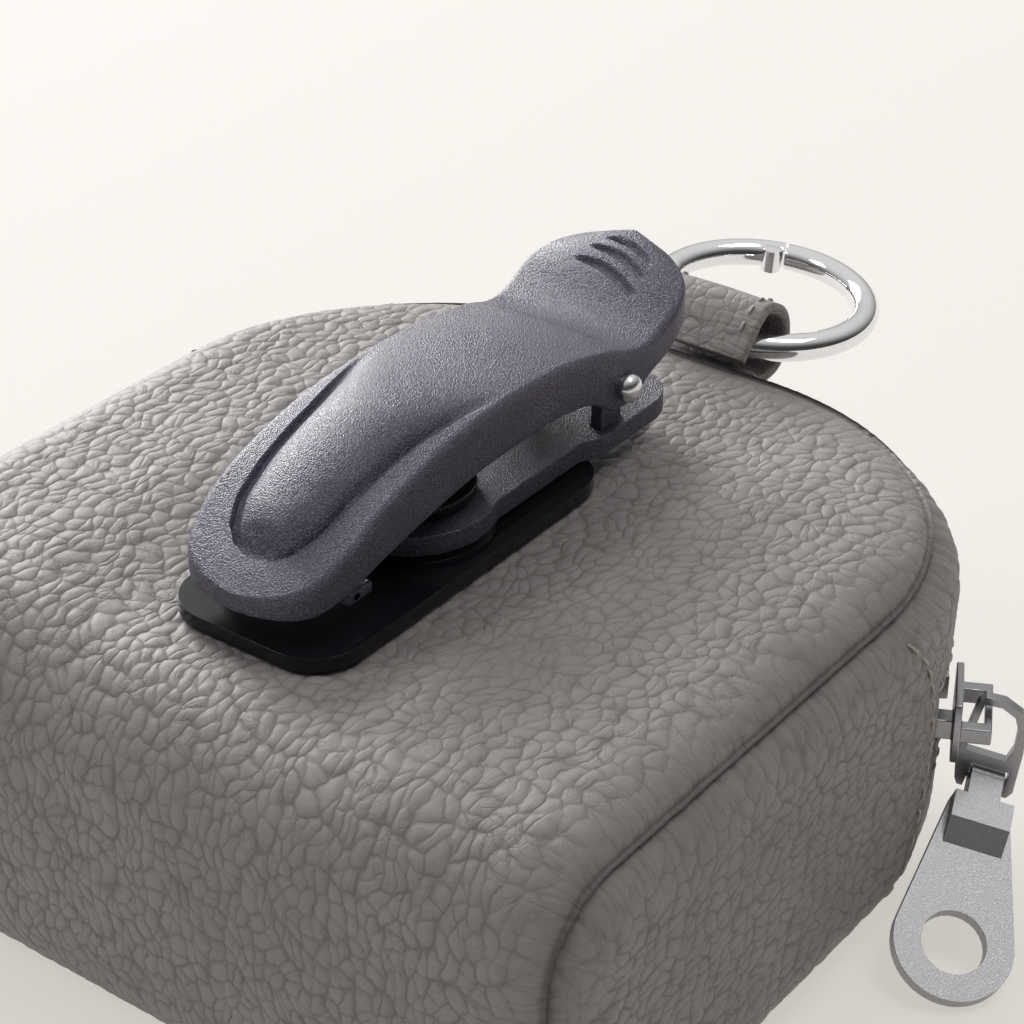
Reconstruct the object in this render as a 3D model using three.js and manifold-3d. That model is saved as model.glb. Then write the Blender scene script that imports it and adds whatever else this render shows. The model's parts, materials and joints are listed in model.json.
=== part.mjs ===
// Golf ball pouch: a small padded leather pouch with a wrap-round zip, a swivelling belt clip
// on its back panel and a spring ring in a strap loop at its far end.
// Millimetres. It lies on its front panel: +Z is up, the far (ring) end is +Y, and the origin is
// the middle of the flat face of the front panel.
import * as THREE from "three";
import Module from "manifold-3d";

const wasm = await Module();
wasm.setup();

// Body of the pouch
const PANEL_LEATHER = 1.8;
const GUSSET_LEATHER = 1.5;
const STRIP_LEATHER = 1.2;
const SEAM_GAP = 0.4;
const EDGE_INSET = 1.4;
const WALL_GAP = 0.3;

// How deep one part of a joined piece goes into another
const OVERLAP = 0.1;

// Outline of the two long seams, seen from above: half the width, where the far end lies, and the
// radius of the two far corners
const BACK_SEAM = { z: 45, side: 49.5, top: 46, corner: 37 };
const FRONT_SEAM = { z: 3, side: 48, top: 45.5, corner: 36 };
const END_SEAM_Y = -52;
const WRAP_RADIUS = 10;
const PANEL_ROLL = 7;
const END_RISE = 2.2;

// How far the back panel stands above its seam, as a share of BACK_RISE: in the middle where the clip
// pulls it down, and along the two ridges beside the clip. Rows run along the panel, as a share of
// the way from the near end (0) to the far end (1).
const BACK_RISE = 3.9;
const BACK_RELIEF = [
  { along: 0.071, middle: 0.62, ridge: 0.87 },
  { along: 0.133, middle: 0.41, ridge: 1 },
  { along: 0.673, middle: 0.41, ridge: 0.92 },
  { along: 0.816, middle: 0.49, ridge: 0.77 },
  { along: 1, middle: 0.51, ridge: 0.56 },
];
const VALLEY_HALF = 11;
const RIDGE_AT = 31;

// How far the wall bulges past the seams: along the sides, at the far corners and at the far end
const WALL_BULGE = { side: 3.1, corner: 4.4, end: 3.7 };
const WALL_ROLL = 6.5;
const STRIP_DROP = 0.5;
const CURL_ROOM = 0.9;
const FLAT_INSIDE = 0.6;
const PANEL_EDGE = { out: 0.5, in: 0.5 };
const GUSSET_EDGE = { out: 0.35, in: 0.5 };
const STRIP_EDGE = { out: 0.2, in: 0.3 };

// Where the grids that the leather is built on have their lines. Columns, rows and heights are
// shares of the piece's width, length or height.
const PANEL_COLUMNS = [0, 0.2, 0.4, 0.6, 0.76, 0.88, 0.95, 0.985, 1];
const FAR_ANGLES = [90, 80, 71, 61, 50, 39, 27, 14, 0];
const WRAP_ANGLES = [90, 72, 54, 36, 18, 0];
const BACK_ROWS = [0.255, 0.49, 0.725, 0.922];
const FRONT_ROWS = [0.194, 0.505, 0.816];
const GUSSET_ANGLES = [0, 15, 32, 50, 70, 90];
const GUSSET_ROWS = [0.282, 0.451, 0.621];
const GUSSET_HEIGHTS = [0, 0.03, 0.09, 0.2, 0.36, 0.5, 0.64, 0.8, 0.91, 0.97, 1];
const BACK_STRIP_HEIGHTS = [0, 0.12, 0.4, 0.7, 0.85, 0.94, 1];
const FRONT_STRIP_HEIGHTS = [0, 0.06, 0.15, 0.3, 0.6, 0.88, 1];
const STRIP_STATIONS = 30;

// Edge of each side gusset where it lies over the zip strips: how far it reaches from the near end,
// as a share of GUSSET_REACH, at shares of the height between the two seams
const GUSSET_REACH = 70.9;
const OVERLAP_EDGE = [
  { up: 0, reach: 0.903 },
  { up: 0.19, reach: 0.979 },
  { up: 0.357, reach: 0.999 },
  { up: 0.5, reach: 1 },
  { up: 0.619, reach: 0.997 },
  { up: 0.762, reach: 0.968 },
  { up: 0.905, reach: 0.92 },
  { up: 1, reach: 0.867 },
];

// Zip
const ZIP_Z = 23.4;
const BAND_STEPS = 36;
const ZIP_OPENING = 10;
const TAPE = { width: 15, thickness: 0.5, depth: 2.7, from: 0.01, to: 0.99 };
const CHAIN = { width: 5.6, rise: 0.5, from: 0.11, to: 0.997 };

// Strap loop that holds the ring. Its middle line, seen from the side, is given as shares of how far
// it reaches past the far end of the back seam and of its height.
const STRAP = { width: 16.5, thickness: 1.5, reach: 10.9, height: 9.4, sag: 2.6 };
const STRAP_LINE = [
  { out: 0.248, up: 0.16 },
  { out: 0.367, up: 0.021 },
  { out: 0.569, up: 0 },
  { out: 0.789, up: 0.043 },
  { out: 0.954, up: 0.234 },
  { out: 1, up: 0.5 },
  { out: 0.927, up: 0.755 },
  { out: 0.752, up: 0.926 },
  { out: 0.55, up: 1 },
  { out: 0.385, up: 0.904 },
  { out: 0.22, up: 0.713 },
  { out: 0.037, up: 0.479 },
];

// Spring ring. Its middle lies out and up from the far end of the back seam.
const RING = { out: 17.7, up: 1.4, radius: 13.4, wire: 1.785, tiltX: -2, tiltY: 3.7 };
const GATE = { from: 109.5, to: 188.5, gap: 1.5, slant: 38 };
const GATE_BOSS = { radius: 1.3, height: 3.1, inset: 1.5, angle: 116 };

// Clip. The plate lies on the back panel, and the jaw, pin and lever stand on it.
const PLATE = { half: 11.6, front: -38, back: 13.5, corner: 6, lift: 2.1, thickness: 1.7 };
const HUB = { y: -9.2, seat: 9.6, seatRise: 0.6, post: 4, head: 7.4, headRise: 1.5 };
const JAW = { disc: 9.8, arm: 8.9, ear: 10.2, step: 10.5, ramp: 2.5, back: 29.5, corner: 6, thickness: 2.5 };
const PIN = { y: 16.5, rise: 5.3, radius: 1.2, head: 1.7, dome: 1.5, half: 12.9 };
const PIN_DOME = [
  { out: 1, up: 0 },
  { out: 1, up: 0.27 },
  { out: 0.8, up: 0.67 },
  { out: 0.4, up: 0.93 },
];
const EAR = { outer: 8.9, thickness: 1.5, radius: 2 };
const PIN_CLEARANCE = 0.3;
const PIN_HEAD_GAP = 0.45;
const LEVER_WALL = 1.4;
const LEVER_SKIN = 1.6;

// Sections of the lever from its tip (0) to the end of its thumb pad (1): half width, the height of
// the top edge, the height of the lower edge, and how far the middle rises above the top edge, all as
// shares of its sizes. Its front and low side are measured from the pin.
const LEVER_SIZE = { front: -55.3, length: 72.6, half: 11, low: -3.7, height: 14.6, crown: 1.9 };
const LEVER = [
  { along: 0, half: 0.291, edge: 0.116, skirt: 0, crown: 0.053 },
  { along: 0.008, half: 0.491, edge: 0.144, skirt: 0, crown: 0.105 },
  { along: 0.03, half: 0.7, edge: 0.205, skirt: 0, crown: 0.158 },
  { along: 0.066, half: 0.836, edge: 0.295, skirt: 0.027, crown: 0.211 },
  { along: 0.085, half: 0.873, edge: 0.342, skirt: 0.048, crown: 0.211 },
  { along: 0.113, half: 0.909, edge: 0.411, skirt: 0.082, crown: 0.263 },
  { along: 0.163, half: 0.918, edge: 0.521, skirt: 0.13, crown: 0.263 },
  { along: 0.245, half: 0.918, edge: 0.623, skirt: 0.192, crown: 0.368 },
  { along: 0.342, half: 0.909, edge: 0.705, skirt: 0.26, crown: 0.474 },
  { along: 0.438, half: 0.9, edge: 0.74, skirt: 0.301, crown: 0.579 },
  { along: 0.534, half: 0.9, edge: 0.74, skirt: 0.315, crown: 0.632 },
  { along: 0.617, half: 0.909, edge: 0.705, skirt: 0.295, crown: 0.632 },
  { along: 0.686, half: 0.936, edge: 0.651, skirt: 0.233, crown: 0.526 },
  { along: 0.741, half: 0.964, edge: 0.589, skirt: 0.082, crown: 0.421 },
  { along: 0.782, half: 0.982, edge: 0.521, skirt: 0.089, crown: 0.263 },
  { along: 0.824, half: 1, edge: 0.5, skirt: 0.219, crown: 0.211 },
  { along: 0.865, half: 1, edge: 0.562, skirt: 0.288, crown: 0.368 },
  { along: 0.906, half: 0.973, edge: 0.658, skirt: 0.397, crown: 0.684 },
  { along: 0.948, half: 0.882, edge: 0.74, skirt: 0.514, crown: 0.947 },
  { along: 0.975, half: 0.745, edge: 0.788, skirt: 0.603, crown: 0.895 },
  { along: 0.992, half: 0.545, edge: 0.822, skirt: 0.678, crown: 0.632 },
  { along: 1, half: 0.3, edge: 0.842, skirt: 0.726, crown: 0.368 },
];
const LEVER_HOLLOW = { from: 0.066, to: 0.824, crown: 0.7, below: 2 };
const LEVER_SHARES = [0, 0.25, 0.45, 0.6, 0.7, 0.86, 0.97];
const LEVER_SHOULDER = 0.5;
const LEVER_TOOTH = { x: 8.6, y: -46.1, width: 1.3, length: 2.4, bottom: -5.9, top: -0.5 };

// Raised oval on the front half of the lever, along it as shares of its length
const OVAL = { front: 0.063, full: 0.163, fade: 0.314, back: 0.507, half: 0.6, rise: 1.7, groove: 0.5 };

// Zip slider. It sits on the wall at an angle round the far corner, a little turned to the wall.
const SLIDER = {
  corner: 24.9,
  proud: 0.16,
  turn: 27,
  length: 11,
  width: 8.8,
  plate: 0.9,
  gap: 2.4,
  post: 2.4,
  postFront: 1.6,
  postWidth: 2.6,
};
const SLIDER_OUTLINE = [
  { along: -1, across: 0.72 },
  { along: -0.35, across: 0.86 },
  { along: 0.35, across: 1 },
  { along: 0.85, across: 0.9 },
  { along: 1, across: 0.35 },
];
const CROWN = { half: 4.8, width: 2, rise: 3.5, bar: 0.85, foot: 1.6 };
const LINK = { lean: -14, thickness: 1.3, out: 1.1 };
const LINK_OUTLINE = [
  { a: 2.25, b: -5.4 },
  { a: 2.25, b: 2.4 },
  { a: 2.9, b: 3.5 },
  { a: 5.2, b: 3.7 },
  { a: 7.6, b: 2.7 },
  { a: 8.7, b: 0.7 },
  { a: 9.4, b: -2.6 },
  { a: 10.1, b: -8.2 },
  { a: 9.6, b: -9.2 },
  { a: 8.9, b: -9.2 },
  { a: 8.9, b: -5.7 },
  { a: 4.3, b: -5.7 },
  { a: 4.3, b: -9.2 },
  { a: 3.6, b: -9.2 },
  { a: 3.1, b: -8.4 },
];
const LINK_HOLE = [
  { a: 3.05, b: -4.2 },
  { a: 7.9, b: -4.2 },
  { a: 8.2, b: -2.4 },
  { a: 7.7, b: 0.5 },
  { a: 6.9, b: 1.9 },
  { a: 5.1, b: 2.7 },
  { a: 3.05, b: 2.5 },
];
const TAB_PIN = { a: 6.6, b: -7.6, radius: 0.6, length: 5 };
const TAB_BARREL = { radius: 1.4, length: 3.9, neck: 0.9 };
const TAB = {
  length: 28.3,
  end: 7,
  hole: 3.8,
  block: 3.5,
  neckEnd: 3.6,
  blockEnd: 7,
  bevelEnd: 9.6,
  back: -1.5,
  flat: 1.7,
  depth: 3.7,
  sunk: 0.5,
};
const TAB_DIRECTION = new THREE.Vector3(0.26, -0.84, -0.42);

const RADIANS = Math.PI / 180;

function lerp(a, b, t) {
  return a + (b - a) * t;
}

function smooth(t) {
  const k = Math.min(Math.max(t, 0), 1);
  return k * k * (3 - 2 * k);
}

// Height of a rounded edge at a distance in from it, as a share of its full height
function rounded(distance, radius) {
  const k = 1 - Math.min(Math.max(distance, 0), radius) / radius;
  return Math.sqrt(1 - k * k);
}

// Value of a column in a table whose rows are sorted along another column
function column(table, along, at, name) {
  const up = table[table.length - 1][along] > table[0][along];
  const rows = up ? table : table.slice().reverse();
  if (at <= rows[0][along]) return rows[0][name];
  for (let i = 1; i < rows.length; i += 1) {
    const from = rows[i - 1];
    const to = rows[i];
    if (at <= to[along]) {
      return lerp(from[name], to[name], (at - from[along]) / (to[along] - from[along]));
    }
  }
  return rows[rows.length - 1][name];
}

// A closed body held as shared points and triangles
class Body {
  constructor(points = [], triangles = []) {
    this.points = points;
    this.triangles = triangles;
  }

  point(p) {
    this.points.push(p);
    return this.points.length - 1;
  }

  quad(a, b, c, d) {
    this.triangles.push([a, b, c], [a, c, d]);
  }

  volume() {
    let sum = 0;
    for (const [a, b, c] of this.triangles) {
      sum += this.points[a].dot(new THREE.Vector3().crossVectors(this.points[b], this.points[c]));
    }
    return sum / 6;
  }

  facingOut() {
    if (this.volume() < 0) this.triangles = this.triangles.map(([a, b, c]) => [a, c, b]);
    return this;
  }

  moved(matrix) {
    return new Body(this.points.map((p) => p.clone().applyMatrix4(matrix)), this.triangles).facingOut();
  }

  mirrored() {
    return this.moved(new THREE.Matrix4().makeScale(-1, 1, 1));
  }
}

function fromGeometry(geometry) {
  const body = new Body();
  const seen = new Map();
  const position = geometry.attributes.position;
  const count = geometry.index ? geometry.index.count : position.count;
  const corner = [];
  for (let i = 0; i < count; i += 1) {
    const at = geometry.index ? geometry.index.getX(i) : i;
    const p = new THREE.Vector3().fromBufferAttribute(position, at);
    const key = p.toArray().map((value) => Math.round(value * 1e4)).join();
    if (!seen.has(key)) seen.set(key, body.point(p));
    corner.push(seen.get(key));
  }
  for (let i = 0; i < corner.length; i += 3) {
    const [a, b, c] = corner.slice(i, i + 3);
    if (a !== b && b !== c && c !== a) body.triangles.push([a, b, c]);
  }
  return body.facingOut();
}

function toManifold(body) {
  return new wasm.Manifold(
    new wasm.Mesh({
      numProp: 3,
      vertProperties: new Float32Array(body.points.flatMap((p) => p.toArray())),
      triVerts: new Uint32Array(body.triangles.flat()),
    })
  );
}

function fromManifold(manifold) {
  const mesh = manifold.getMesh();
  const body = new Body();
  for (let i = 0; i < mesh.vertProperties.length; i += mesh.numProp) {
    body.point(new THREE.Vector3(...mesh.vertProperties.slice(i, i + 3)));
  }
  for (let i = 0; i < mesh.triVerts.length; i += 3) {
    body.triangles.push(Array.from(mesh.triVerts.slice(i, i + 3)));
  }
  return body;
}

function join(first, ...others) {
  let result = toManifold(first);
  for (const other of others) result = result.add(toManifold(other));
  return fromManifold(result);
}

function cut(first, ...others) {
  let result = toManifold(first);
  for (const other of others) result = result.subtract(toManifold(other));
  return fromManifold(result);
}

function box(x0, x1, y0, y1, z0, z1) {
  const geometry = new THREE.BoxGeometry(x1 - x0, y1 - y0, z1 - z0);
  geometry.translate((x0 + x1) / 2, (y0 + y1) / 2, (z0 + z1) / 2);
  return fromGeometry(geometry);
}

function cylinder(radius, length, segments) {
  return fromGeometry(new THREE.CylinderGeometry(radius, radius, length, segments));
}

// Flat outline pulled up along Z from a height, by a thickness
function slab(shape, bottom, thickness, curveSegments = 6) {
  const geometry = new THREE.ExtrudeGeometry(shape, { depth: thickness, bevelEnabled: false, curveSegments });
  geometry.translate(0, 0, bottom);
  return fromGeometry(geometry);
}

// Closed body through sections that all have the same number of points
function loft(sections) {
  const body = new Body();
  const rings = sections.map((section) => section.map((p) => body.point(p)));
  const count = sections[0].length;
  for (let i = 1; i < rings.length; i += 1) {
    for (let j = 0; j < count; j += 1) {
      const k = (j + 1) % count;
      body.quad(rings[i - 1][j], rings[i - 1][k], rings[i][k], rings[i][j]);
    }
  }
  for (const [ring, flip] of [[rings[0], true], [rings[rings.length - 1], false]]) {
    const middle = new THREE.Vector3();
    for (const index of ring) middle.add(body.points[index]);
    const centre = body.point(middle.divideScalar(count));
    for (let j = 0; j < count; j += 1) {
      const k = (j + 1) % count;
      body.triangles.push(flip ? [centre, ring[k], ring[j]] : [centre, ring[j], ring[k]]);
    }
  }
  return body.facingOut();
}

// Piece of leather from a grid of points on its outer face, with a rounded edge all round. Its inner
// face turns less than the outer one where that rolls over into a seam.
function leather(grid, thickness, curl) {
  const rows = grid.length;
  const columns = grid[0].length;
  const at = (i, j) => grid[Math.min(Math.max(i, 0), rows - 1)][Math.min(Math.max(j, 0), columns - 1)];
  const middle = grid[rows >> 1][columns >> 1];
  const normals = grid.map((row, i) =>
    row.map((p, j) => {
      const along = at(i + 1, j).clone().sub(at(i - 1, j));
      const across = at(i, j + 1).clone().sub(at(i, j - 1));
      return along.cross(across).normalize();
    })
  );
  const outward = new THREE.Vector3(middle.x, middle.y - BODY_MIDDLE.y, middle.z - BODY_MIDDLE.z);
  if (normals[rows >> 1][columns >> 1].dot(outward) < 0) {
    for (const row of normals) for (const normal of row) normal.negate();
  }

  const loop = [];
  for (let j = 0; j < columns; j += 1) loop.push([0, j, 1, j]);
  for (let i = 1; i < rows; i += 1) loop.push([i, columns - 1, i, columns - 2]);
  for (let j = columns - 2; j >= 0; j -= 1) loop.push([rows - 1, j, rows - 2, j]);
  for (let i = rows - 2; i > 0; i -= 1) loop.push([i, 0, i, 1]);

  const body = new Body();
  const outer = grid.map((row) => row.map((p) => body.point(p)));
  const inner = grid.map((row, i) =>
    row.map((p, j) => {
      const inward = normals[i][j].clone().lerp(normals[i][columns >> 1], FLAT_INSIDE).normalize();
      return body.point(p.clone().addScaledVector(inward, -thickness));
    })
  );
  const rim = loop.map(([i, j, inI, inJ], k) => {
    const before = loop[(k + loop.length - 1) % loop.length];
    const after = loop[(k + 1) % loop.length];
    const along = at(after[0], after[1]).clone().sub(at(before[0], before[1]));
    const normal = normals[i][j];
    const out = along.cross(normal).normalize();
    if (out.dot(at(i, j).clone().sub(at(inI, inJ))) < 0) out.negate();
    return body.point(at(i, j).clone().addScaledVector(out, curl.out).addScaledVector(normal, -curl.in));
  });

  for (let i = 1; i < rows; i += 1) {
    for (let j = 1; j < columns; j += 1) {
      body.quad(outer[i - 1][j - 1], outer[i - 1][j], outer[i][j], outer[i][j - 1]);
      body.quad(inner[i - 1][j - 1], inner[i][j - 1], inner[i][j], inner[i - 1][j]);
    }
  }
  loop.forEach(([i, j], k) => {
    const next = (k + 1) % loop.length;
    const [nextI, nextJ] = loop[next];
    body.quad(outer[i][j], rim[k], rim[next], outer[nextI][nextJ]);
    body.quad(rim[k], inner[i][j], inner[nextI][nextJ], rim[next]);
  });
  return body.facingOut();
}

const BODY_MIDDLE = { y: 0, z: (BACK_SEAM.z + FRONT_SEAM.z) / 2 };

// Distance in from a seam outline, seen from above
function inFromSeam(seam, x, y) {
  const centreX = seam.side - seam.corner;
  const centreY = seam.top - seam.corner;
  const across = Math.abs(x) - centreX;
  const along = y - centreY;
  if (across > 0 && along > 0) return seam.corner - Math.hypot(across, along);
  return Math.min(seam.side - Math.abs(x), seam.top - y);
}

// Distance in from the seam outline of a side gusset, seen from the side
function inFromSide(y, z) {
  const centreY = END_SEAM_Y + WRAP_RADIUS;
  const low = FRONT_SEAM.z + WRAP_RADIUS;
  const high = BACK_SEAM.z - WRAP_RADIUS;
  const past = z > high ? z - high : Math.max(low - z, 0);
  if (y < centreY && past > 0) return WRAP_RADIUS - Math.hypot(centreY - y, past);
  return Math.min(z - FRONT_SEAM.z, BACK_SEAM.z - z, y - END_SEAM_Y);
}

function backRise(x, y) {
  const along = (y - END_SEAM_Y) / (BACK_SEAM.top - END_SEAM_Y);
  const middle = column(BACK_RELIEF, "along", along, "middle");
  const ridge = column(BACK_RELIEF, "along", along, "ridge");
  return BACK_RISE * lerp(middle, ridge, smooth((Math.abs(x) - VALLEY_HALF) / (RIDGE_AT - VALLEY_HALF)));
}

// Main panel: one piece of leather that runs down the back, round the near end and along the front
function mainPanel() {
  const across = [...PANEL_COLUMNS.slice(1).reverse().map((share) => -share), ...PANEL_COLUMNS];
  const grid = [];
  const flatRow = (seam, y, height) => {
    const past = y - (seam.top - seam.corner);
    const half = past > 0
      ? seam.side - seam.corner + Math.sqrt(Math.max(0, seam.corner ** 2 - past ** 2))
      : seam.side;
    return across.map((share) => new THREE.Vector3(share * half, y, height(share * half, y)));
  };
  const backHeight = (x, y) =>
    BACK_SEAM.z + backRise(x, y) * rounded(inFromSeam(BACK_SEAM, x, y), PANEL_ROLL);
  const frontHeight = (x, y) =>
    FRONT_SEAM.z * (1 - rounded(inFromSeam(FRONT_SEAM, x, y), PANEL_ROLL));
  const turnY = END_SEAM_Y + WRAP_RADIUS;
  const wrapRow = (y, z, outY, outZ, share) => {
    const half = lerp(FRONT_SEAM.side, BACK_SEAM.side, (z - FRONT_SEAM.z) / (BACK_SEAM.z - FRONT_SEAM.z));
    return across.map((part) => {
      const x = part * half;
      const flat = z > BODY_MIDDLE.z ? backRise(x, turnY) : FRONT_SEAM.z;
      const rise = lerp(flat, END_RISE, smooth(share)) * rounded(half - Math.abs(x), PANEL_ROLL);
      return new THREE.Vector3(x, y + outY * rise, z + outZ * rise);
    });
  };

  for (const angle of FAR_ANGLES) {
    const y = BACK_SEAM.top - BACK_SEAM.corner * (1 - Math.sin(angle * RADIANS));
    grid.push(flatRow(BACK_SEAM, y, backHeight));
  }
  for (const share of BACK_ROWS) {
    grid.push(flatRow(BACK_SEAM, lerp(BACK_SEAM.top - BACK_SEAM.corner, turnY, share), backHeight));
  }
  for (const angle of WRAP_ANGLES) {
    const sine = Math.sin(angle * RADIANS);
    const cosine = Math.cos(angle * RADIANS);
    const y = turnY - WRAP_RADIUS * cosine;
    const z = BACK_SEAM.z - WRAP_RADIUS * (1 - sine);
    grid.push(wrapRow(y, z, -cosine, sine, 1 - angle / 90));
  }
  grid.push(wrapRow(END_SEAM_Y, BODY_MIDDLE.z, -1, 0, 1));
  for (const angle of WRAP_ANGLES.slice().reverse()) {
    const sine = Math.sin(angle * RADIANS);
    const cosine = Math.cos(angle * RADIANS);
    const y = turnY - WRAP_RADIUS * cosine;
    const z = FRONT_SEAM.z + WRAP_RADIUS * (1 - sine);
    grid.push(wrapRow(y, z, -cosine, -sine, 1 - angle / 90));
  }
  for (const share of FRONT_ROWS) {
    grid.push(flatRow(FRONT_SEAM, lerp(turnY, FRONT_SEAM.top - FRONT_SEAM.corner, share), frontHeight));
  }
  for (const angle of FAR_ANGLES.slice().reverse()) {
    const y = FRONT_SEAM.top - FRONT_SEAM.corner * (1 - Math.sin(angle * RADIANS));
    grid.push(flatRow(FRONT_SEAM, y, frontHeight));
  }
  return leather(grid, PANEL_LEATHER, PANEL_EDGE);
}

// Seam outline at a height, between the front seam and the back seam
function outlineAt(z) {
  const t = (z - FRONT_SEAM.z) / (BACK_SEAM.z - FRONT_SEAM.z);
  return {
    side: lerp(FRONT_SEAM.side, BACK_SEAM.side, t),
    top: lerp(FRONT_SEAM.top, BACK_SEAM.top, t),
    corner: lerp(FRONT_SEAM.corner, BACK_SEAM.corner, t),
  };
}

// How far the wall bulges out at a station. Stations run from 0 at the near end of the right side
// to 1 where the far corner starts, 2 where it ends and 3 at the middle of the far end.
function bulgeAt(station) {
  const corner = WALL_BULGE.corner;
  if (station < 1) return lerp(WALL_BULGE.side, corner, 0.25 * smooth(station * 2 - 1));
  const start = lerp(WALL_BULGE.side, corner, 0.25);
  if (station < 1.45) return lerp(start, corner, smooth((station - 1) / 0.45));
  return lerp(corner, WALL_BULGE.end, smooth((station - 1.45) / 1.1));
}

// Point of the wall, moved out from it by an offset, on the right half of the pouch
function wallPoint(station, z, offset) {
  const { side, top, corner } = outlineAt(z);
  const centreX = side - corner;
  const centreY = top - corner;
  let x = centreX + corner;
  let y = lerp(END_SEAM_Y, centreY, station);
  let outX = 1;
  let outY = 0;
  if (station > 1 && station <= 2) {
    outX = Math.cos((station - 1) * 90 * RADIANS);
    outY = Math.sin((station - 1) * 90 * RADIANS);
    x = centreX + corner * outX;
    y = centreY + corner * outY;
  } else if (station > 2) {
    outX = 0;
    outY = 1;
    x = centreX * (3 - station);
    y = top;
  }
  const edge = rounded(inFromSide(Math.max(y, END_SEAM_Y), z) - SEAM_GAP * 2, WALL_ROLL);
  const out = bulgeAt(station) * edge + offset;
  return new THREE.Vector3(x + outX * out, y + outY * out, z);
}

// Station of the wall at a distance along the right side
function stationAt(y, z) {
  const { top, corner } = outlineAt(z);
  const centreY = top - corner;
  if (y <= centreY) return (y - END_SEAM_Y) / (centreY - END_SEAM_Y);
  return 1 + Math.asin((y - centreY) / corner) / (90 * RADIANS);
}

// Where the side gusset's edge lies over the zip strips, at a height
function overlapAt(z) {
  const up = (z - FRONT_SEAM.z) / (BACK_SEAM.z - FRONT_SEAM.z);
  return END_SEAM_Y + GUSSET_REACH * column(OVERLAP_EDGE, "up", up, "reach");
}

const LOWEST = FRONT_SEAM.z + EDGE_INSET;
const HIGHEST = BACK_SEAM.z - EDGE_INSET;

// Side gusset: it fills the side of the pouch from the near end to the zip
function sideGusset() {
  const turn = WRAP_RADIUS - EDGE_INSET;
  const rows = [];
  for (const angle of GUSSET_ANGLES) {
    const inwards = turn * (1 - Math.cos(angle * RADIANS));
    rows.push({ y: END_SEAM_Y + EDGE_INSET + inwards, reach: Math.sin(angle * RADIANS) });
  }
  const straightRows = GUSSET_ROWS.map((share) => END_SEAM_Y + GUSSET_REACH * share);
  const lastRow = straightRows[straightRows.length - 1];
  for (const y of straightRows) rows.push({ y, reach: 1 });
  const half = (HIGHEST - LOWEST) / 2;
  const point = (y, z) => wallPoint(stationAt(y, z), z, 0);
  const grid = rows.map(({ y, reach }) => {
    const span = half - turn + turn * reach;
    return GUSSET_HEIGHTS.map((share) => point(y, BODY_MIDDLE.z + span * (2 * share - 1)));
  });
  for (const part of [0.35, 0.7, 1]) {
    grid.push(
      GUSSET_HEIGHTS.map((share) => {
        const z = lerp(LOWEST, HIGHEST, share);
        return point(lerp(lastRow, overlapAt(z) - WALL_GAP / 2, part), z);
      })
    );
  }
  return leather(grid, GUSSET_LEATHER, GUSSET_EDGE);
}

function stripPoint(share, z, offset) {
  const start = stationAt(overlapAt(z) + WALL_GAP / 2 + CURL_ROOM, z);
  const station = lerp(start, 6 - start, share);
  if (station <= 3) return wallPoint(station, z, offset);
  const p = wallPoint(6 - station, z, offset);
  p.x = -p.x;
  return p;
}

// Zip strip: leather beside the zip, on the back side or the front side of it
function zipStrip(heights) {
  const grid = [];
  for (let i = 0; i <= STRIP_STATIONS; i += 1) {
    grid.push(heights.map((z) => stripPoint(i / STRIP_STATIONS, z, -STRIP_DROP)));
  }
  return leather(grid, STRIP_LEATHER, STRIP_EDGE);
}

// Band that follows the wall between two heights and two depths under its face
function wallBand(low, high, outer, inner, from, to, steps) {
  const sections = [];
  for (let i = 0; i <= steps; i += 1) {
    const share = lerp(from, to, i / steps);
    sections.push([
      stripPoint(share, low, -outer),
      stripPoint(share, high, -outer),
      stripPoint(share, high, -inner),
      stripPoint(share, low, -inner),
    ]);
  }
  return loft(sections);
}

// Strip of even thickness along a line in the Y-Z plane, centred on X
function strapLoop() {
  const line = new THREE.CatmullRomCurve3(
    STRAP_LINE.map(({ out, up }) => {
      const y = BACK_SEAM.top + out * STRAP.reach;
      const z = BACK_SEAM.z - STRAP.sag + up * STRAP.height;
      return new THREE.Vector3(0, y, z);
    })
  );
  const sections = [];
  for (let i = 0; i <= 26; i += 1) {
    const p = line.getPoint(i / 26);
    const along = line.getTangent(i / 26);
    const out = new THREE.Vector3(0, -along.z, along.y).multiplyScalar(STRAP.thickness / 2);
    sections.push([
      p.clone().add(out).setX(-STRAP.width / 2),
      p.clone().add(out).setX(STRAP.width / 2),
      p.clone().sub(out).setX(STRAP.width / 2),
      p.clone().sub(out).setX(-STRAP.width / 2),
    ]);
  }
  return loft(sections);
}

const RING_PLACE = new THREE.Matrix4()
  .makeTranslation(0, BACK_SEAM.top + RING.out, BACK_SEAM.z + RING.up)
  .multiply(new THREE.Matrix4().makeRotationY(RING.tiltY * RADIANS))
  .multiply(new THREE.Matrix4().makeRotationX(RING.tiltX * RADIANS));

// Round wire bent to an arc, between two angles. An end can be cut at a slant, so that the gate's
// nose swings clear of the ring.
function wireArc(from, to, steps, slantFrom, slantTo) {
  const sections = [];
  for (let i = 0; i <= steps; i += 1) {
    const slant = Math.tan((i === 0 ? slantFrom : i === steps ? slantTo : 0) * RADIANS);
    const section = [];
    for (let j = 0; j < 10; j += 1) {
      const turn = (j / 10) * 2 * Math.PI;
      const past = RING.wire * Math.cos(turn);
      const reach = RING.radius + past;
      const angle = lerp(from, to, i / steps) * RADIANS - (slant * past) / RING.radius;
      const up = RING.wire * Math.sin(turn);
      section.push(new THREE.Vector3(reach * Math.cos(angle), reach * Math.sin(angle), up));
    }
    sections.push(section);
  }
  return loft(sections);
}

function ringBody() {
  return wireArc(GATE.to + GATE.gap, GATE.from + 360 - GATE.gap, 32, GATE.slant, 0).moved(RING_PLACE);
}

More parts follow.
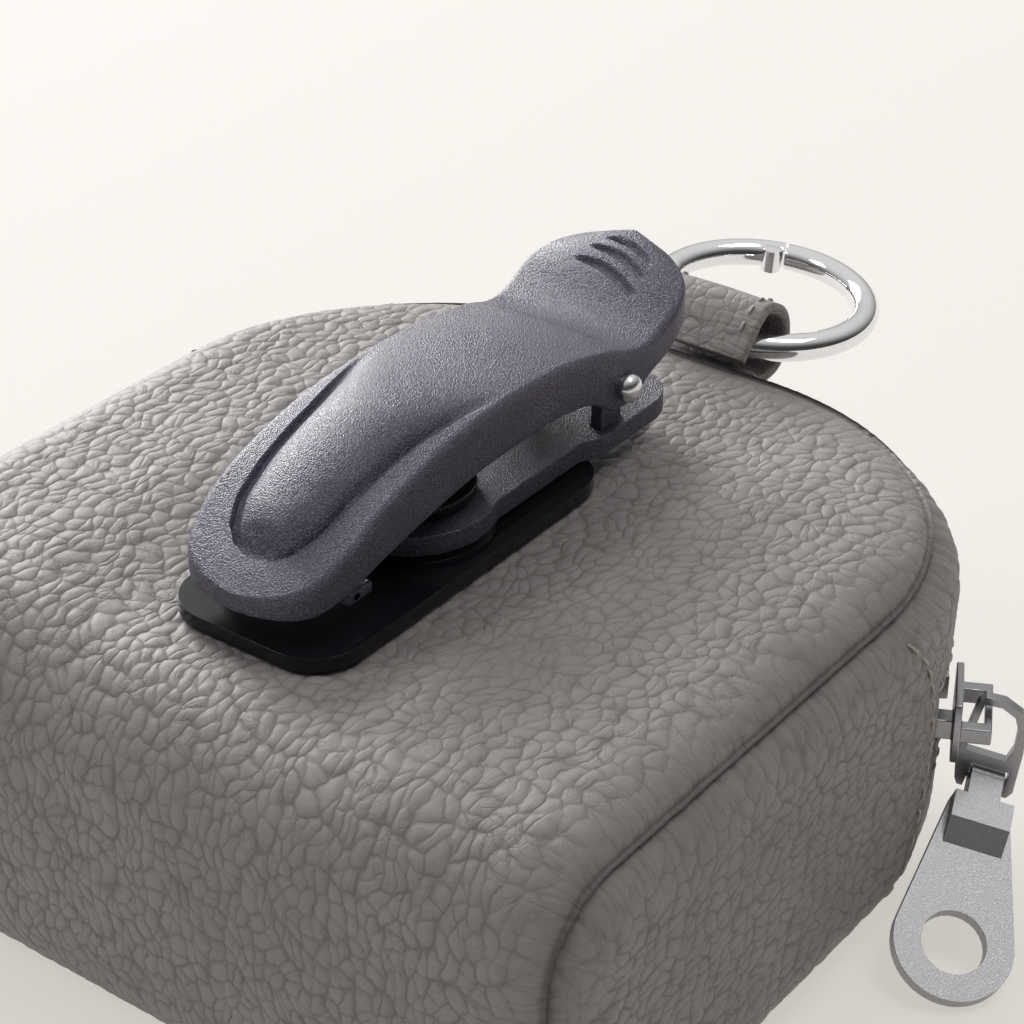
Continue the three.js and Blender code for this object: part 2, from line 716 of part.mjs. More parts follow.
function ringGate() {
  const boss = cylinder(GATE_BOSS.radius, GATE_BOSS.height, 14);
  const reach = RING.radius - GATE_BOSS.inset;
  const angle = GATE_BOSS.angle * RADIANS;
  const place = new THREE.Matrix4()
    .makeTranslation(reach * Math.cos(angle), reach * Math.sin(angle), 0)
    .multiply(new THREE.Matrix4().makeRotationX(90 * RADIANS));
  return join(wireArc(GATE.from, GATE.to, 9, 0, GATE.slant), boss.moved(place)).moved(RING_PLACE);
}

function roundedRectangle(x0, x1, y0, y1, radius) {
  const shape = new THREE.Shape();
  shape.moveTo(x0 + radius, y0);
  shape.lineTo(x1 - radius, y0);
  shape.absarc(x1 - radius, y0 + radius, radius, -Math.PI / 2, 0, false);
  shape.lineTo(x1, y1 - radius);
  shape.absarc(x1 - radius, y1 - radius, radius, 0, Math.PI / 2, false);
  shape.lineTo(x0 + radius, y1);
  shape.absarc(x0 + radius, y1 - radius, radius, Math.PI / 2, Math.PI, false);
  shape.lineTo(x0, y0 + radius);
  shape.absarc(x0 + radius, y0 + radius, radius, Math.PI, 1.5 * Math.PI, false);
  return shape;
}

// Upright round disc at the swivel
function hubDisc(radius, bottom, thickness, segments) {
  const upright = new THREE.Matrix4()
    .makeTranslation(0, HUB.y, bottom + thickness / 2)
    .multiply(new THREE.Matrix4().makeRotationX(90 * RADIANS));
  return cylinder(radius, thickness, segments).moved(upright);
}

const PLATE_BOTTOM = BACK_SEAM.z + PLATE.lift;
const PLATE_TOP = PLATE_BOTTOM + PLATE.thickness;
const JAW_BOTTOM = PLATE_TOP + HUB.seatRise + WALL_GAP;
const JAW_TOP = JAW_BOTTOM + JAW.thickness;
const PIN_Z = JAW_TOP + PIN.rise;

function mountingPlate() {
  const shape = roundedRectangle(-PLATE.half, PLATE.half, PLATE.front, PLATE.back, PLATE.corner);
  const plate = slab(shape, PLATE_BOTTOM, PLATE.thickness);
  return join(plate, hubDisc(HUB.seat, PLATE_TOP - 0.2, HUB.seatRise + 0.2, 32));
}

// Rivet that the clip swivels on: a post with a broad head, standing on the plate's seat
function swivelRivet() {
  const post = hubDisc(HUB.post, JAW_BOTTOM, JAW.thickness + WALL_GAP + 0.1, 20);
  return join(post, hubDisc(HUB.head, JAW_TOP + WALL_GAP, HUB.headRise, 28));
}

// Cylinder along X at the clip's pin
function atPin(radius, x0, x1, segments) {
  const place = new THREE.Matrix4()
    .makeTranslation((x0 + x1) / 2, PIN.y, PIN_Z)
    .multiply(new THREE.Matrix4().makeRotationZ(90 * RADIANS));
  return cylinder(radius, x1 - x0, segments).moved(place);
}

function jawEar(side) {
  const inner = side * (EAR.outer - EAR.thickness);
  const outer = side * EAR.outer;
  const x0 = Math.min(inner, outer);
  const x1 = Math.max(inner, outer);
  const web = box(x0, x1, PIN.y - EAR.radius, PIN.y + EAR.radius, JAW_TOP - 0.5, PIN_Z);
  return join(web, atPin(EAR.radius, x0, x1, 20));
}

function clipJaw() {
  const armBody = slab(jawOutline(), JAW_BOTTOM, JAW.thickness, 8);
  const hole = hubDisc(HUB.post + WALL_GAP, JAW_BOTTOM - 1, JAW.thickness + 2, 20);
  const bore = atPin(PIN.radius + PIN_CLEARANCE, -EAR.outer - 1, EAR.outer + 1, 16);
  return cut(join(armBody, jawEar(1), jawEar(-1)), hole, bore);
}

// Outline of the jaw: a disc round the swivel, and an arm that widens to the ears
function jawOutline() {
  const shape = new THREE.Shape();
  const angle = Math.acos(JAW.arm / JAW.disc);
  shape.absarc(0, HUB.y, JAW.disc, Math.PI - angle, 2 * Math.PI + angle, false);
  shape.lineTo(JAW.arm, JAW.step);
  shape.lineTo(JAW.ear, JAW.step + JAW.ramp);
  shape.lineTo(JAW.ear, JAW.back - JAW.corner);
  shape.absarc(JAW.ear - JAW.corner, JAW.back - JAW.corner, JAW.corner, 0, Math.PI / 2, false);
  shape.lineTo(JAW.corner - JAW.ear, JAW.back);
  shape.absarc(JAW.corner - JAW.ear, JAW.back - JAW.corner, JAW.corner, Math.PI / 2, Math.PI, false);
  shape.lineTo(-JAW.ear, JAW.step + JAW.ramp);
  shape.lineTo(-JAW.arm, JAW.step);
  return shape;
}

function clipPin() {
  const shaft = atPin(PIN.radius, -PIN.half, PIN.half, 16);
  const headStart = LEVER_HALF_AT_PIN + PIN_HEAD_GAP;
  const dome = (side) => {
    const round = PIN_DOME.map(({ out, up }) => new THREE.Vector2(out * PIN.head, up * PIN.dome));
    const profile = [new THREE.Vector2(0, 0), ...round, new THREE.Vector2(0, PIN.dome)];
    const place = new THREE.Matrix4()
      .makeTranslation(side * headStart, PIN.y, PIN_Z)
      .multiply(new THREE.Matrix4().makeRotationZ(-side * 90 * RADIANS));
    return fromGeometry(new THREE.LatheGeometry(profile, 16)).moved(place);
  };
  return join(shaft, dome(1), dome(-1));
}

const LEVER_HALF_AT_PIN =
  LEVER_SIZE.half * column(LEVER, "along", -LEVER_SIZE.front / LEVER_SIZE.length, "half");

// Real sizes of a section of the lever
function leverSection({ along, half, edge, skirt, crown }) {
  const height = (share) => PIN_Z + LEVER_SIZE.low + share * LEVER_SIZE.height;
  return {
    y: PIN.y + LEVER_SIZE.front + along * LEVER_SIZE.length,
    half: half * LEVER_SIZE.half,
    edge: height(edge),
    skirt: height(skirt),
    crown: crown * LEVER_SIZE.crown,
  };
}

// Height that the oval adds to the lever's top, at a share of the half width
function ovalRise(share, along) {
  const length = along < OVAL.full ? (OVAL.full - along) / (OVAL.full - OVAL.front) : 0;
  if (length >= 1) return 0;
  const half = OVAL.half * Math.sqrt(1 - length * length);
  const fade = smooth((OVAL.back - along) / (OVAL.back - OVAL.fade));
  const across = Math.abs(share) / half;
  if (across < 1) return fade * (OVAL.rise * Math.sqrt(1 - across * across) - OVAL.groove * across ** 4);
  return -fade * OVAL.groove * Math.max(0, 1 - (Math.abs(share) - half) / 0.1);
}

function clipLever() {
  const tops = [...LEVER_SHARES.slice(1).reverse().map((share) => -share), ...LEVER_SHARES];
  const outer = LEVER.map((row) => {
    const { y, half, edge, skirt, crown } = leverSection(row);
    const section = [new THREE.Vector3(half, y, skirt), new THREE.Vector3(-half, y, skirt)];
    section.push(new THREE.Vector3(-half, y, edge - LEVER_SHOULDER));
    for (const share of tops) {
      const z = edge + crown * (1 - share * share) + ovalRise(share, row.along);
      section.push(new THREE.Vector3(share * half, y, z));
    }
    section.push(new THREE.Vector3(half, y, edge - LEVER_SHOULDER));
    return section;
  });
  const rows = LEVER.filter(({ along }) => along >= LEVER_HOLLOW.from && along <= LEVER_HOLLOW.to);
  const inner = rows.map((row) => {
    const { y, half, edge, skirt, crown } = leverSection(row);
    const inside = half - LEVER_WALL;
    return [
      new THREE.Vector3(inside, y, skirt - LEVER_HOLLOW.below),
      new THREE.Vector3(-inside, y, skirt - LEVER_HOLLOW.below),
      new THREE.Vector3(-inside, y, edge - LEVER_SKIN),
      new THREE.Vector3(-inside / 2, y, edge + crown * LEVER_HOLLOW.crown - LEVER_SKIN),
      new THREE.Vector3(inside / 2, y, edge + crown * LEVER_HOLLOW.crown - LEVER_SKIN),
      new THREE.Vector3(inside, y, edge - LEVER_SKIN),
    ];
  });
  const { x, width, length, bottom, top } = LEVER_TOOTH;
  const y = PIN.y + LEVER_TOOTH.y;
  const tooth = (side) =>
    box(
      side * x - width / 2,
      side * x + width / 2,
      y - length / 2,
      y + length / 2,
      PIN_Z + bottom,
      PIN_Z + top
    );
  const bore = atPin(PIN.radius + PIN_CLEARANCE, -PIN.half - 1, PIN.half + 1, 16);
  return cut(join(cut(loft(outer), loft(inner)), tooth(1), tooth(-1)), bore);
}

// Frame of the slider: X along N out of the pouch, Y across the zip (up), Z along the zip
const OUT = new THREE.Vector3(Math.cos(SLIDER.turn * RADIANS), Math.sin(SLIDER.turn * RADIANS), 0);
const UP = new THREE.Vector3(0, 0, 1);
const ALONG = new THREE.Vector3().crossVectors(OUT, UP);
const SLIDER_PLACE = new THREE.Matrix4()
  .makeBasis(OUT, UP, ALONG)
  .setPosition(wallPoint(1 + SLIDER.corner / 90, ZIP_Z, SLIDER.proud));

// Outline in the slider's X-Y plane pulled along the zip, centred on the slider
function crossZip(rows, holes, thickness) {
  const shape = new THREE.Shape(rows.map(({ a, b }) => new THREE.Vector2(a, b)));
  for (const hole of holes) shape.holes.push(new THREE.Path(hole.map(({ a, b }) => new THREE.Vector2(a, b))));
  return slab(shape, -thickness / 2, thickness);
}

function zipSlider() {
  const top = SLIDER.gap / 2 + SLIDER.plate;
  const half = SLIDER.length / 2;
  const wide = SLIDER.width / 2;
  const side = (sign) => ({ along, across }) => new THREE.Vector2(along * half, sign * across * wide);
  const plateShape = new THREE.Shape([
    ...SLIDER_OUTLINE.map(side(-1)),
    ...SLIDER_OUTLINE.slice().reverse().map(side(1)),
  ]);
  const toOut = new THREE.Matrix4().makeBasis(
    new THREE.Vector3(0, 0, 1),
    new THREE.Vector3(0, 1, 0),
    new THREE.Vector3(-1, 0, 0)
  );
  const plate = (from) => slab(plateShape, from, SLIDER.plate).moved(toOut);
  const across = CROWN.width / 2;
  const crownTop = top + CROWN.rise;
  const sunk = -SLIDER.gap / 2 - OVERLAP;
  const postHalf = SLIDER.postWidth / 2;
  const postEnd = SLIDER.postFront + SLIDER.post;
  const post = box(sunk, -sunk, -postHalf, postHalf, SLIDER.postFront, postEnd);
  const foot = (z0, z1) => box(top - OVERLAP, crownTop, -across, across, z0, z1);
  const bar = box(crownTop - CROWN.bar, crownTop, -across, across, -CROWN.half, CROWN.half);
  const inner = CROWN.half - CROWN.foot;
  return join(
    plate(SLIDER.gap / 2),
    plate(-top),
    post,
    bar,
    foot(-CROWN.half, -inner),
    foot(inner, CROWN.half)
  );
}

const LINK_PLACE = SLIDER_PLACE.clone()
  .multiply(new THREE.Matrix4().makeTranslation(LINK.out, 0, 0))
  .multiply(new THREE.Matrix4().makeRotationZ(LINK.lean * RADIANS));

// Cylinder along the link's pin, centred on it
function alongPin(radius, length, segments) {
  const place = new THREE.Matrix4()
    .makeTranslation(TAB_PIN.a, TAB_PIN.b, 0)
    .multiply(new THREE.Matrix4().makeRotationZ(90 * RADIANS));
  return cylinder(radius, length, segments).moved(place);
}

function pullLink() {
  const plate = crossZip(LINK_OUTLINE, [LINK_HOLE], LINK.thickness);
  return join(plate, alongPin(TAB_PIN.radius, TAB_PIN.length, 12)).moved(LINK_PLACE);
}

// Frame of the tab: X along the pin, Y up the tab, Z out of its front face
const PIN_ALONG = new THREE.Vector3().setFromMatrixColumn(LINK_PLACE, 0);
const TAB_UP = TAB_DIRECTION.clone().negate().projectOnPlane(PIN_ALONG).normalize();
const TAB_PLACE = new THREE.Matrix4()
  .makeBasis(PIN_ALONG, TAB_UP, new THREE.Vector3().crossVectors(PIN_ALONG, TAB_UP))
  .setPosition(new THREE.Vector3(TAB_PIN.a, TAB_PIN.b, 0).applyMatrix4(LINK_PLACE));

function pullTab() {
  const centre = TAB.end - TAB.length;
  const reach = Math.hypot(centre + TAB.neckEnd, TAB.block);
  const lean = Math.acos(TAB.end / reach) - Math.atan2(-centre - TAB.neckEnd, TAB.block);
  const shape = new THREE.Shape();
  shape.moveTo(TAB.block, -TAB.neckEnd);
  shape.lineTo(-TAB.block, -TAB.neckEnd);
  shape.absarc(0, centre, TAB.end, Math.PI + lean, 2 * Math.PI - lean, false);
  const hole = new THREE.Path();
  hole.absarc(0, centre, TAB.hole, 0, 2 * Math.PI, true);
  shape.holes.push(hole);
  const flat = slab(shape, TAB.back, TAB.flat, 14);

  const wedge = new THREE.Shape([
    new THREE.Vector2(TAB.back, -TAB.neckEnd),
    new THREE.Vector2(TAB.back, -TAB.bevelEnd),
    new THREE.Vector2(TAB.back + TAB.flat, -TAB.bevelEnd),
    new THREE.Vector2(TAB.back + TAB.depth, -TAB.blockEnd),
    new THREE.Vector2(TAB.back + TAB.depth, -TAB.neckEnd),
  ]);
  const turn = new THREE.Matrix4().makeBasis(
    new THREE.Vector3(0, 0, 1),
    new THREE.Vector3(0, 1, 0),
    new THREE.Vector3(-1, 0, 0)
  );
  const block = slab(wedge, -TAB.block, 2 * TAB.block).moved(turn);

  const barrel = cylinder(TAB_BARREL.radius, TAB_BARREL.length, 18).moved(
    new THREE.Matrix4().makeRotationZ(90 * RADIANS)
  );
  const neckHalf = TAB_BARREL.length / 2;
  const neckDepth = TAB_BARREL.radius * TAB_BARREL.neck;
  const neck = box(-neckHalf, neckHalf, -TAB.neckEnd - TAB.sunk, 0, -neckDepth, neckDepth);
  const bore = cylinder(TAB_PIN.radius + PIN_CLEARANCE, TAB_BARREL.length + 2, 12).moved(
    new THREE.Matrix4().makeRotationZ(90 * RADIANS)
  );
  return cut(join(flat, block, barrel, neck), bore).moved(TAB_PLACE);
}

const LOOKS = {
  leather: { color: 0x8f8a84, roughness: 0.6, metalness: 0 },
  zip_fabric: { color: 0x6f6b66, roughness: 0.9, metalness: 0 },
  clip_plastic: { color: 0x2b2a31, roughness: 0.45, metalness: 0 },
  chrome: { color: 0xdedede, roughness: 0.08, metalness: 1 },
  satin_metal: { color: 0x8d8d90, roughness: 0.35, metalness: 1 },
};

const group = new THREE.Group();
group.name = "golf_ball_pouch";

function add(name, look, body) {
  const geometry = new THREE.BufferGeometry();
  const places = body.points.flatMap((p) => p.toArray());
  geometry.setAttribute("position", new THREE.Float32BufferAttribute(places, 3));
  geometry.setIndex(body.triangles.flat());
  geometry.computeVertexNormals();
  const mesh = new THREE.Mesh(geometry, new THREE.MeshStandardMaterial(LOOKS[look]));
  mesh.name = name;
  group.add(mesh);
}

const backEdge = ZIP_Z + ZIP_OPENING / 2;
const frontEdge = ZIP_Z - ZIP_OPENING / 2;
const gusset = sideGusset();

add("main_panel", "leather", mainPanel());
add("side_gusset_right", "leather", gusset);
add("side_gusset_left", "leather", gusset.mirrored());
add("zip_strip_back", "leather", zipStrip(BACK_STRIP_HEIGHTS.map((t) => lerp(backEdge, HIGHEST, t))));
add("zip_strip_front", "leather", zipStrip(FRONT_STRIP_HEIGHTS.map((t) => lerp(LOWEST, frontEdge, t))));
add(
  "zip_tape",
  "zip_fabric",
  wallBand(
    ZIP_Z - TAPE.width / 2,
    ZIP_Z + TAPE.width / 2,
    TAPE.depth,
    TAPE.depth + TAPE.thickness,
    TAPE.from,
    TAPE.to,
    BAND_STEPS
  )
);
add(
  "zip_teeth",
  "satin_metal",
  wallBand(
    ZIP_Z - CHAIN.width / 2,
    ZIP_Z + CHAIN.width / 2,
    -CHAIN.rise,
    TAPE.depth - WALL_GAP,
    CHAIN.from,
    CHAIN.to,
    BAND_STEPS
  )
);
add("zip_slider", "satin_metal", zipSlider().moved(SLIDER_PLACE));
add("pull_link", "satin_metal", pullLink());
add("pull_tab", "satin_metal", pullTab());
add("strap_loop", "leather", strapLoop());
add("ring_body", "chrome", ringBody());
add("ring_gate", "chrome", ringGate());
add("mounting_plate", "clip_plastic", mountingPlate());
add("swivel_rivet", "clip_plastic", swivelRivet());
add("clip_jaw", "clip_plastic", clipJaw());
add("clip_lever", "clip_plastic", clipLever());
add("clip_pin", "satin_metal", clipPin());

export default group;
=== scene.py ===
# %% [markdown]
# # A golf ball pouch in soft leather
# The pouch lies on its front panel, with its belt clip up. Its solids come from a CAD model, which
# is loaded first. Every visible piece is then built round those solids in the same frame, with the
# seams, the grain and the rounded edges that the solids leave out.
# Lengths in this script are in millimetres, and they turn into metres when a mesh is made.

# %% Load the solids
import json
import math

import bmesh
import bpy
import numpy as np
from mathutils import Matrix, Vector

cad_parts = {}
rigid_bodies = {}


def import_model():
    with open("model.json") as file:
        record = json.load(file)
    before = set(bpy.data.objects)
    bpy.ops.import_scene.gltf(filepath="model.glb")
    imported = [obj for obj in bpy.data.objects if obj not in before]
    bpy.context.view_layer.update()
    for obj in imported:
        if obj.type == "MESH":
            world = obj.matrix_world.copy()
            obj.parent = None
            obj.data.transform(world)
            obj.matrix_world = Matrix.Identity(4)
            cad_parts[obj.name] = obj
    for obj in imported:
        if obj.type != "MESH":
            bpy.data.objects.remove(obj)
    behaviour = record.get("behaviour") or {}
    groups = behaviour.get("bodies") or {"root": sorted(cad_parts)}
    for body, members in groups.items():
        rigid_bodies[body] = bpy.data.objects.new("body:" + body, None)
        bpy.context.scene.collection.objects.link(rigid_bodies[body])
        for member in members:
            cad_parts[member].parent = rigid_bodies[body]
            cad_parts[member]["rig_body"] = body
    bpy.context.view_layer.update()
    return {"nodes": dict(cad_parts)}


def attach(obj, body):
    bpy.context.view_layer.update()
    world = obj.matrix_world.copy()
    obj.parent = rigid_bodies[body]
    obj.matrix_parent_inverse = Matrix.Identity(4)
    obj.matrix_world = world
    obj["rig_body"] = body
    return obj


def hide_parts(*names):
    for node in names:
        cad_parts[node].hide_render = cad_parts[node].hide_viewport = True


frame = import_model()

MM = 0.001

# %% [markdown]
# ## Camera and studio
# The photograph looks down on the pouch from its right front corner, with a long lens. The floor
# fills the whole background, so it has to render as one even warm white.

# %% Camera
SENSOR = 36.0
LENS = 93.7
LOOK_AT = Vector((-0.0004, 0.010, 0.040))
CAMERA_AT = Vector((0.1589, -0.2038, 0.2021))

camera_data = bpy.data.cameras.new("camera")
camera_data.lens = LENS
camera_data.sensor_width = SENSOR
camera_data.clip_start = 0.01
camera_data.clip_end = 10.0
camera = bpy.data.objects.new("camera", camera_data)
camera.location = CAMERA_AT
camera.rotation_euler = (LOOK_AT - CAMERA_AT).to_track_quat("-Z", "Y").to_euler()
bpy.context.scene.collection.objects.link(camera)
bpy.context.scene.camera = camera
bpy.context.scene.view_settings.view_transform = "Standard"
print("camera distance in mm:", round((CAMERA_AT - LOOK_AT).length / MM))

# %% [markdown]
# ## Shader sums as Python sums
# A finish is a tree of nodes. Wired by hand it is hard to read, so one small class wraps an output
# socket. Plus, minus and times on it add Math nodes, and any other node comes from one method. The
# same class works in a Geometry Nodes tree, so a pattern can shape a mesh and colour it.

# %% The wire class
class Wire:
    """An output socket of a node tree. Sums on wires add Math nodes."""

    def __init__(self, tree, socket=None):
        self.tree = tree
        self.socket = socket

    def node(self, kind, settings=None, sockets=None, out=0):
        """Adds a node: its settings first, then the values or links of its sockets."""
        made = self.tree.nodes.new(kind)
        for name, value in (settings or {}).items():
            setattr(made, name, value)
        for name, value in (sockets or {}).items():
            found = made.inputs[name] if isinstance(name, int) else find_socket(made, name)
            if isinstance(value, Wire):
                self.tree.links.new(value.socket, found)
            else:
                found.default_value = value
        outputs = [s for s in made.outputs if out in (s.identifier, s.name)] or list(made.outputs)
        return Wire(self.tree, outputs[0] if outputs else None)

    def maths(self, operation, *values):
        return self.node("ShaderNodeMath", {"operation": operation}, dict(enumerate(values)))

    def __add__(self, other):
        return self.maths("ADD", self, other)

    def __radd__(self, other):
        return self.maths("ADD", other, self)

    def __sub__(self, other):
        return self.maths("SUBTRACT", self, other)

    def __rsub__(self, other):
        return self.maths("SUBTRACT", other, self)

    def __mul__(self, other):
        return self.maths("MULTIPLY", self, other)

    def most(self, other):
        return self.maths("MAXIMUM", self, other)

    def vector(self, operation, other, out=0):
        """Vector Math with another vector, or with a number for SCALE."""
        sockets = {0: self, "Scale" if operation == "SCALE" else 1: other}
        return self.node("ShaderNodeVectorMath", {"operation": operation}, sockets, out)

    def noise(self, scale, detail, flat=True, roughness=0.5, out=0):
        """Noise at this place, in two dimensions if flat."""
        settings = {"noise_dimensions": "2D" if flat else "3D"}
        sockets = {"Vector": self, "Scale": scale, "Detail": detail, "Roughness": roughness}
        return self.node("ShaderNodeTexNoise", settings, sockets, out)

    def bump(self, strength, depth):
        """A normal from this height, with a depth in millimetres."""
        sockets = {"Strength": strength, "Distance": depth * MM, "Height": self}
        return self.node("ShaderNodeBump", None, sockets)

    def ramp(self, low, high, to_low=0.0, to_high=1.0):
        """A smooth step of this value, from low to high."""
        settings = {"interpolation_type": "SMOOTHSTEP"}
        return self.node("ShaderNodeMapRange", settings, {0: self, 1: low, 2: high, 3: to_low, 4: to_high})

    def mix(self, a, b):
        """Colour a where this value is 0, and b where it is 1."""
        sockets = {"Factor_Float": self, "A_Color": a, "B_Color": b}
        return self.node("ShaderNodeMix", {"data_type": "RGBA"}, sockets, "Result_Color")


def find_socket(node, name):
    for socket in node.inputs:
        if socket.identifier == name:
            return socket
    return node.inputs[name]


def finish_of(name):
    """A new material: its tree's first wire, its surface shader, and the material itself."""
    material = bpy.data.materials.new(name)
    material.use_nodes = True
    tree = material.node_tree
    tree.nodes.clear()
    start = Wire(tree)
    surface = start.node("ShaderNodeBsdfPrincipled").socket.node
    end = tree.nodes.new("ShaderNodeOutputMaterial")
    tree.links.new(surface.outputs[0], end.inputs["Surface"])
    return start, surface, material


def feed(surface, **sockets):
    """Sets or links sockets of a surface shader."""
    for name, value in sockets.items():
        socket = surface.inputs[name.replace("_", " ")]
        if isinstance(value, Wire):
            surface.id_data.links.new(value.socket, socket)
        else:
            socket.default_value = value


def srgb(red, green, blue):
    """A colour as it shows on screen, 0 to 255, turned into the linear values of a shader."""
    def linear(value):
        share = value / 255
        return share / 12.92 if share <= 0.04045 else ((share + 0.055) / 1.055) ** 2.4

    return (linear(red), linear(green), linear(blue), 1.0)


print("wire class ready")

# %% [markdown]
# ## The leather's grain
# Drum-dyed leather has pebbles about 2.4 mm long and 1.6 mm wide, with narrow creases between them,
# finer creases across some pebbles, and a fine skin texture on top. A Voronoi pattern gives just
# that: its distance to a cell's middle rounds the pebble, and its distance to the cell's edge sinks
# the crease. It is laid out in flat millimetres of the hide, which every leather piece carries as a
# point attribute, so that the pebbles keep their size on every curve. The attribute's third number
# is the distance to the nearest seam, where the hide is pulled smooth and wrinkles towards it.

# %% Grain pattern
HIDE = "hide"
PEBBLE = (1 / 1.6, 1 / 2.35, 1.0)
SMALL_PEBBLE = (1 / 0.9, 1 / 1.2, 1.0)
WRINKLE = (0.10, 0.60, 1.0)
DOME_DEPTH, VALLEY_DEPTH, SMALL_DEPTH, FOLD_DEPTH = 0.70, 0.42, 0.22, 0.22
MEAN_HEIGHT = 0.8
HIDE_PULLED, HIDE_FREE = 1.0, 8.0


def seam_distance(place):
    return place.node("ShaderNodeSeparateXYZ", None, {0: place}, "Z")


def gathers(flat):
    """Long narrow wrinkles that run straight towards a seam, 1 in the bottom of a wrinkle."""
    off = flat.vector("MULTIPLY", WRINKLE).noise(1.0, 1.0) - 0.5
    return 1 - off.maths("ABSOLUTE", off).ramp(0.0, 0.09)


def grain(place):
    """Height of the grain, about 1 on a pebble, how deep in a crease a point is, and its flat place."""
    from_seam = seam_distance(place)
    flat = place.vector("MULTIPLY", (1.0, 1.0, 0.0))

    def drift(scale, reach):
        field = flat.noise(scale, 0.0, roughness=0.6, out="Color")
        return field.vector("SUBTRACT", (0.5, 0.5, 0.5)).vector("SCALE", reach)

    bent = flat.vector("ADD", drift(0.20, 2.2)).vector("ADD", drift(0.75, 0.55))

    def cells(size, randomness, feature="DISTANCE_TO_EDGE"):
        sockets = {"Vector": bent.vector("MULTIPLY", size), "Scale": 1.0, "Randomness": randomness}
        settings = {"voronoi_dimensions": "2D", "feature": feature}
        return place.node("ShaderNodeTexVoronoi", settings, sockets, "Distance")

    edge = cells(PEBBLE, 0.85)
    from_middle = cells(PEBBLE, 0.85, "F1")
    valley = 1 - edge.ramp(-0.08, 0.24)
    crease = 1 - edge.ramp(0.0, 0.05)
    uneven = flat.noise(0.40, 1.0).ramp(0.30, 0.60, 0.45, 1.0)
    wrinkled = flat.noise(0.25, 1.0).ramp(0.45, 0.62)
    small_valley = (1 - cells(SMALL_PEBBLE, 0.95).ramp(-0.04, 0.12)) * wrinkled
    pulled = from_seam.ramp(HIDE_PULLED, HIDE_FREE, 0.42, 1.0)
    folds = gathers(flat) * from_seam.ramp(HIDE_PULLED, HIDE_FREE + 1, 1.0, 0.0)
    dome = from_middle * from_middle * DOME_DEPTH
    sunk = dome + valley * uneven * VALLEY_DEPTH + small_valley * SMALL_DEPTH
    height = 1 - sunk * pulled - folds * FOLD_DEPTH
    deep = (crease * uneven).most(small_valley * 0.30) * pulled.most(folds * 0.3)
    return height, deep, flat


def raise_grain(piece, relief):
    """Presses the grain into a piece's mesh, by a Geometry Nodes modifier that is applied at once."""
    tree = bpy.data.node_groups.new("press_grain", "GeometryNodeTree")
    tree.interface.new_socket("Geometry", in_out="INPUT", socket_type="NodeSocketGeometry")
    tree.interface.new_socket("Geometry", in_out="OUTPUT", socket_type="NodeSocketGeometry")
    mesh_in = Wire(tree).node("NodeGroupInput")
    place = mesh_in.node("GeometryNodeInputNamedAttribute", {"data_type": "FLOAT_VECTOR"}, {"Name": HIDE})
    height, _, _ = grain(place)
    normal = mesh_in.node("GeometryNodeInputNormal")
    offset = normal.vector("SCALE", (height - MEAN_HEIGHT) * (relief * MM))
    moved = mesh_in.node("GeometryNodeSetPosition", None, {"Geometry": mesh_in, "Offset": offset})
    mesh_in.node("NodeGroupOutput", None, {0: moved})
    modifier = piece.modifiers.new("grain", "NODES")
    modifier.node_group = tree
    apply_all(piece)


def apply_all(piece):
    """Turns what the modifiers make into the piece's own mesh."""
    bpy.context.view_layer.update()
    made = bpy.data.meshes.new_from_object(piece.evaluated_get(bpy.context.evaluated_depsgraph_get()))
    piece.modifiers.clear()
    made.name = piece.name
    piece.data = made


def count_triangles(piece):
    print(piece.name, "triangles:", sum(len(p.vertices) - 2 for p in piece.data.polygons))


# %% Leather finish
# The crease, slope and seam colours below are painted shade. The top colours are the leather's own.
CREASE_SHADE_COLOUR = srgb(84, 80, 79)
SLOPE_SHADE_COLOUR = srgb(119, 114, 113)
SEAM_SHADE_COLOUR = srgb(62, 58, 57)
TOP_COLOURS = srgb(129, 124, 123), srgb(139, 134, 133)


def leather_finish():
    start, surface, material = finish_of("leather")
    place = start.node("ShaderNodeAttribute", {"attribute_name": HIDE}, None, "Vector")
    height, deep, flat = grain(place)
    cloud = flat.noise(0.055, 3.0)
    mottle = flat.noise(1.3, 4.0)
    pores = flat.noise(5.5, 3.0)
    tone = (cloud * 0.7 + mottle * 0.3).ramp(0.3, 0.7)
    top = tone.mix(*TOP_COLOURS)
    # Painted shade: each pebble's sides, where the grain's height falls away, turn darker than its top.
    painted_slope_shade = height.ramp(0.35, 0.98).mix(SLOPE_SHADE_COLOUR, top)
    # Painted shade: the narrow creases between and across the pebbles are darkened.
    painted_crease_shade = (deep * 0.20).mix(painted_slope_shade, CREASE_SHADE_COLOUR)
    # Painted shade: the leather darkens into the crease of each seam.
    colour = seam_distance(place).ramp(-0.9, 0.1, 0.75, 0.0).mix(painted_crease_shade, SEAM_SHADE_COLOUR)
    rough = deep * 0.2 + mottle * 0.12 + 0.50
    relief = height + pores * 0.16 + mottle * 0.08
    feed(surface, Base_Color=colour, Roughness=rough, Normal=relief.bump(0.75, 0.28))
    feed(surface, Specular_IOR_Level=0.34)
    return material


LEATHER = leather_finish()
print("leather finish:", len(LEATHER.node_tree.nodes), "nodes")

# %% [markdown]
# ## The shapes of the leather
# The pouch is sewn from a long main panel, two side gussets and two zip strips. Their outlines are
# the two long seams, each a straight-sided loop with two big far corners. The helpers below give the
# same surfaces as the solids do, for whole arrays of points at once.

